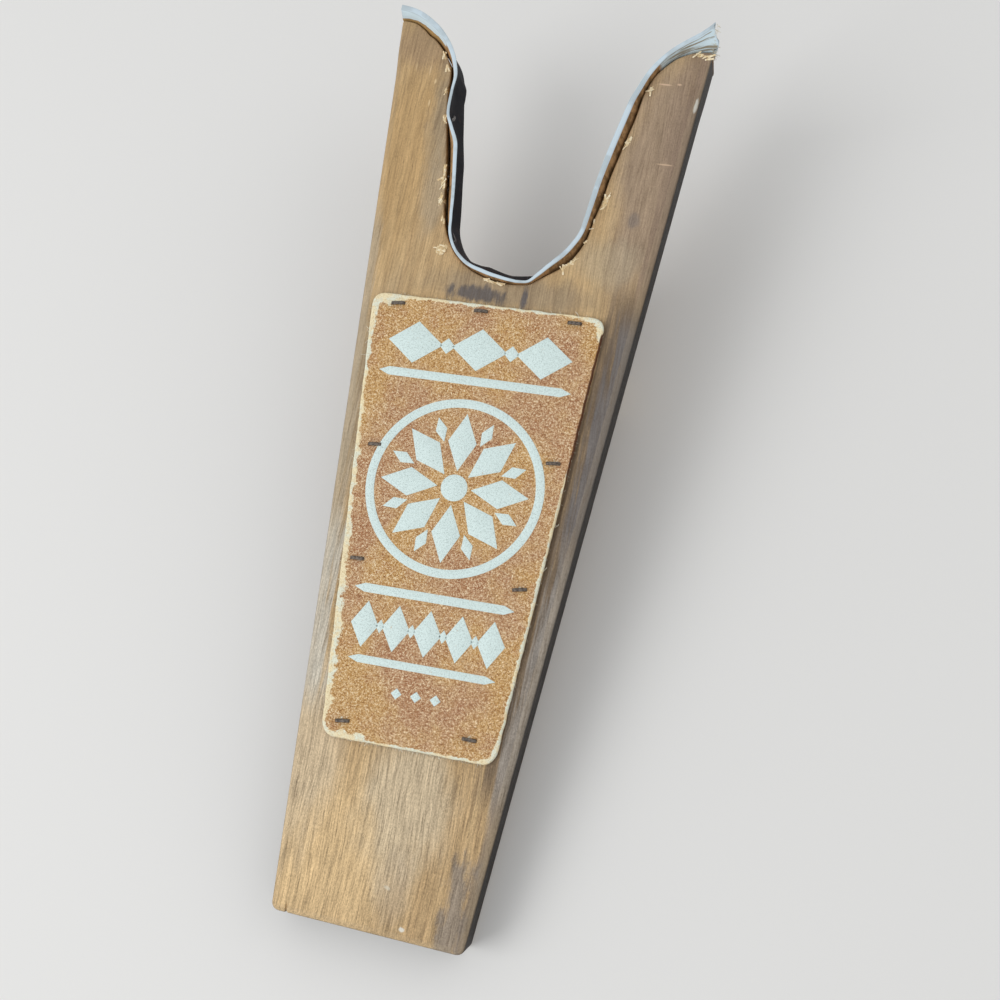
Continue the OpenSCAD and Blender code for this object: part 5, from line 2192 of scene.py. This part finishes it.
@dataclass(frozen=True)
class Studio:
    """Pale floor, soft light and the camera at the photograph's angle, in the plank's frame."""

    eye: tuple[float, float, float] = (102.70, 100.87, 467.41)
    look: tuple[float, float, float] = (-0.18656, 0.13796, -0.97271)
    up: tuple[float, float, float] = (-0.17353, 0.96990, 0.17084)
    lens: float = 43.973
    sensor: float = 36.0
    floor_half: float = 6.0
    floor: Colour = (0.80, 0.80, 0.79, 1.0)
    sky: float = 0.62
    # Lamps: name, place and length of the sides in metres, and power in watts
    lamps: tuple[tuple[str, tuple[float, float, float], float, float], ...] = (
        ("window", (-1.15, -0.75, 1.30), 1.1, 15.0),
        ("bounce", (1.3, 0.6, 1.0), 1.4, 2.5),
    )

    def build(self, slope: Slope) -> None:
        """Builds the floor, the light and the camera.

        Args:
            slope: Place of the plank.
        """
        self._floor()
        self._sky()
        for lamp in self.lamps:
            self._lamp(*lamp)
        self._camera(slope)

    def _floor(self) -> None:
        """Wide pale floor under the object."""
        h = self.floor_half
        mesh = bpy.data.meshes.new("floor")
        mesh.from_pydata([(-h, -h, 0), (h, -h, 0), (h, h, 0), (-h, h, 0)], [], [(0, 1, 2, 3)])
        mesh.materials.append(Skin("floor").cover(self.floor, 0.9, 0.1))
        floor = bpy.data.objects.new("floor", mesh)
        bpy.context.scene.collection.objects.link(floor)

    def _sky(self) -> None:
        """Even white light that shows as white to the camera and in reflections."""
        world = bpy.data.worlds.new("room")
        world.use_nodes = True
        bpy.context.scene.world = world
        world.node_tree.nodes.clear()
        g = Graph(world.node_tree)
        path = g.add("ShaderNodeLightPath")
        seen = g.math("MAXIMUM", path.outputs["Is Camera Ray"], path.outputs["Is Glossy Ray"])
        seen = g.math("MAXIMUM", seen, path.outputs["Is Transmission Ray"])
        strength = g.mad(seen, 1.0 - self.sky, self.sky)
        light = g.add("ShaderNodeBackground", {"Color": (1.0, 1.0, 1.0, 1.0), "Strength": strength})
        g.add("ShaderNodeOutputWorld", {"Surface": light.outputs[0]})

    @staticmethod
    def _lamp(name: str, at: tuple[float, float, float], size: float, power: float) -> None:
        """Soft square lamp that points at the middle of the object.

        Args:
            name: Name of the lamp.
            at: Its place in metres.
            size: Length of its sides in metres.
            power: Its power in watts.
        """
        lamp = bpy.data.lights.new(name, "AREA")
        lamp.size = size
        lamp.energy = power
        holder = bpy.data.objects.new(name, lamp)
        holder.location = at
        holder.rotation_euler = (Vector((0, 0, 0.03)) - Vector(at)).to_track_quat("-Z", "Y").to_euler()
        bpy.context.scene.collection.objects.link(holder)

    def _camera(self, slope: Slope) -> None:
        """Camera at the photograph's place, as Studio.build takes it."""
        data = bpy.data.cameras.new("camera")
        data.lens = self.lens
        data.sensor_width = self.sensor
        data.clip_start, data.clip_end = 0.01, 50
        camera = bpy.data.objects.new("camera", data)
        back = -slope.direction(self.look)
        up = slope.direction(self.up)
        right = up.cross(back).normalized()
        turn = Matrix((right, back.cross(right), back)).transposed()
        camera.matrix_world = Matrix.Translation(slope.matrix() @ Vector(self.eye)) @ turn.to_4x4()
        bpy.context.scene.collection.objects.link(camera)
        bpy.context.scene.camera = camera


def main() -> None:
    """Loads the frame and builds the object's pieces in order."""
    logging.basicConfig(level=logging.INFO, format="%(name)s %(message)s")
    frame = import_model()
    plank = Plank()
    slope = Slope.from_frame(plank.tilt, plank.edge_r, plank.thickness)
    bpy.context.scene.view_settings.view_transform = "Standard"
    Studio().build(slope)
    effects, scatter = Effects(), Scatter()

    plank.build(WoodFinish().make("stained plank", effects, slope), slope)
    Cleat().build(CleatFinish().make("stained cleat", effects, slope), slope)
    liner = NotchLiner()
    liner.build(LinerFinish().make("strip leather", effects, slope), slope)
    panel = LeatherPanel()
    panel.build(PanelFinish().make("panel leather", effects, slope), slope)
    Ornament().build(PrintFinish().make("pale print", effects, slope), panel, scatter, slope)

    staples = Staples()
    dark_wire = MetalFinish(srgb(112, 104, 96), srgb(62, 54, 48), 0.45, 0.7)
    grey_wire = MetalFinish(srgb(120, 116, 114), srgb(78, 72, 70), 0.42, 0.85)
    staples.build_panel(dark_wire.make("darkened wire", effects, slope), panel, scatter, slope)
    staples.build_liner(grey_wire.make("grey wire", effects, slope), liner, scatter, slope)
    fibres, loose = Fibres(), FibreFinish().make("loose fibres", effects, slope)
    fibres.build_panel(loose, panel, scatter, slope)
    fibres.build_strip(loose, liner, scatter, slope)
    straw = FibreFinish(srgb(246, 234, 204), srgb(224, 198, 152)).make("torn straw", effects, slope)
    fibres.build_splinters(straw, plank, scatter, slope)

    steel = MetalFinish(srgb(196, 196, 190), srgb(150, 148, 140), 0.3, 0.9).make("zinc steel", effects, slope)
    screws = frame["nodes"]["cleat_screws"]
    screws.data.materials.clear()
    screws.data.materials.append(steel)
    log.info("cleat_screws: CAD node with its own finish")


if __name__ == "__main__":
    main()
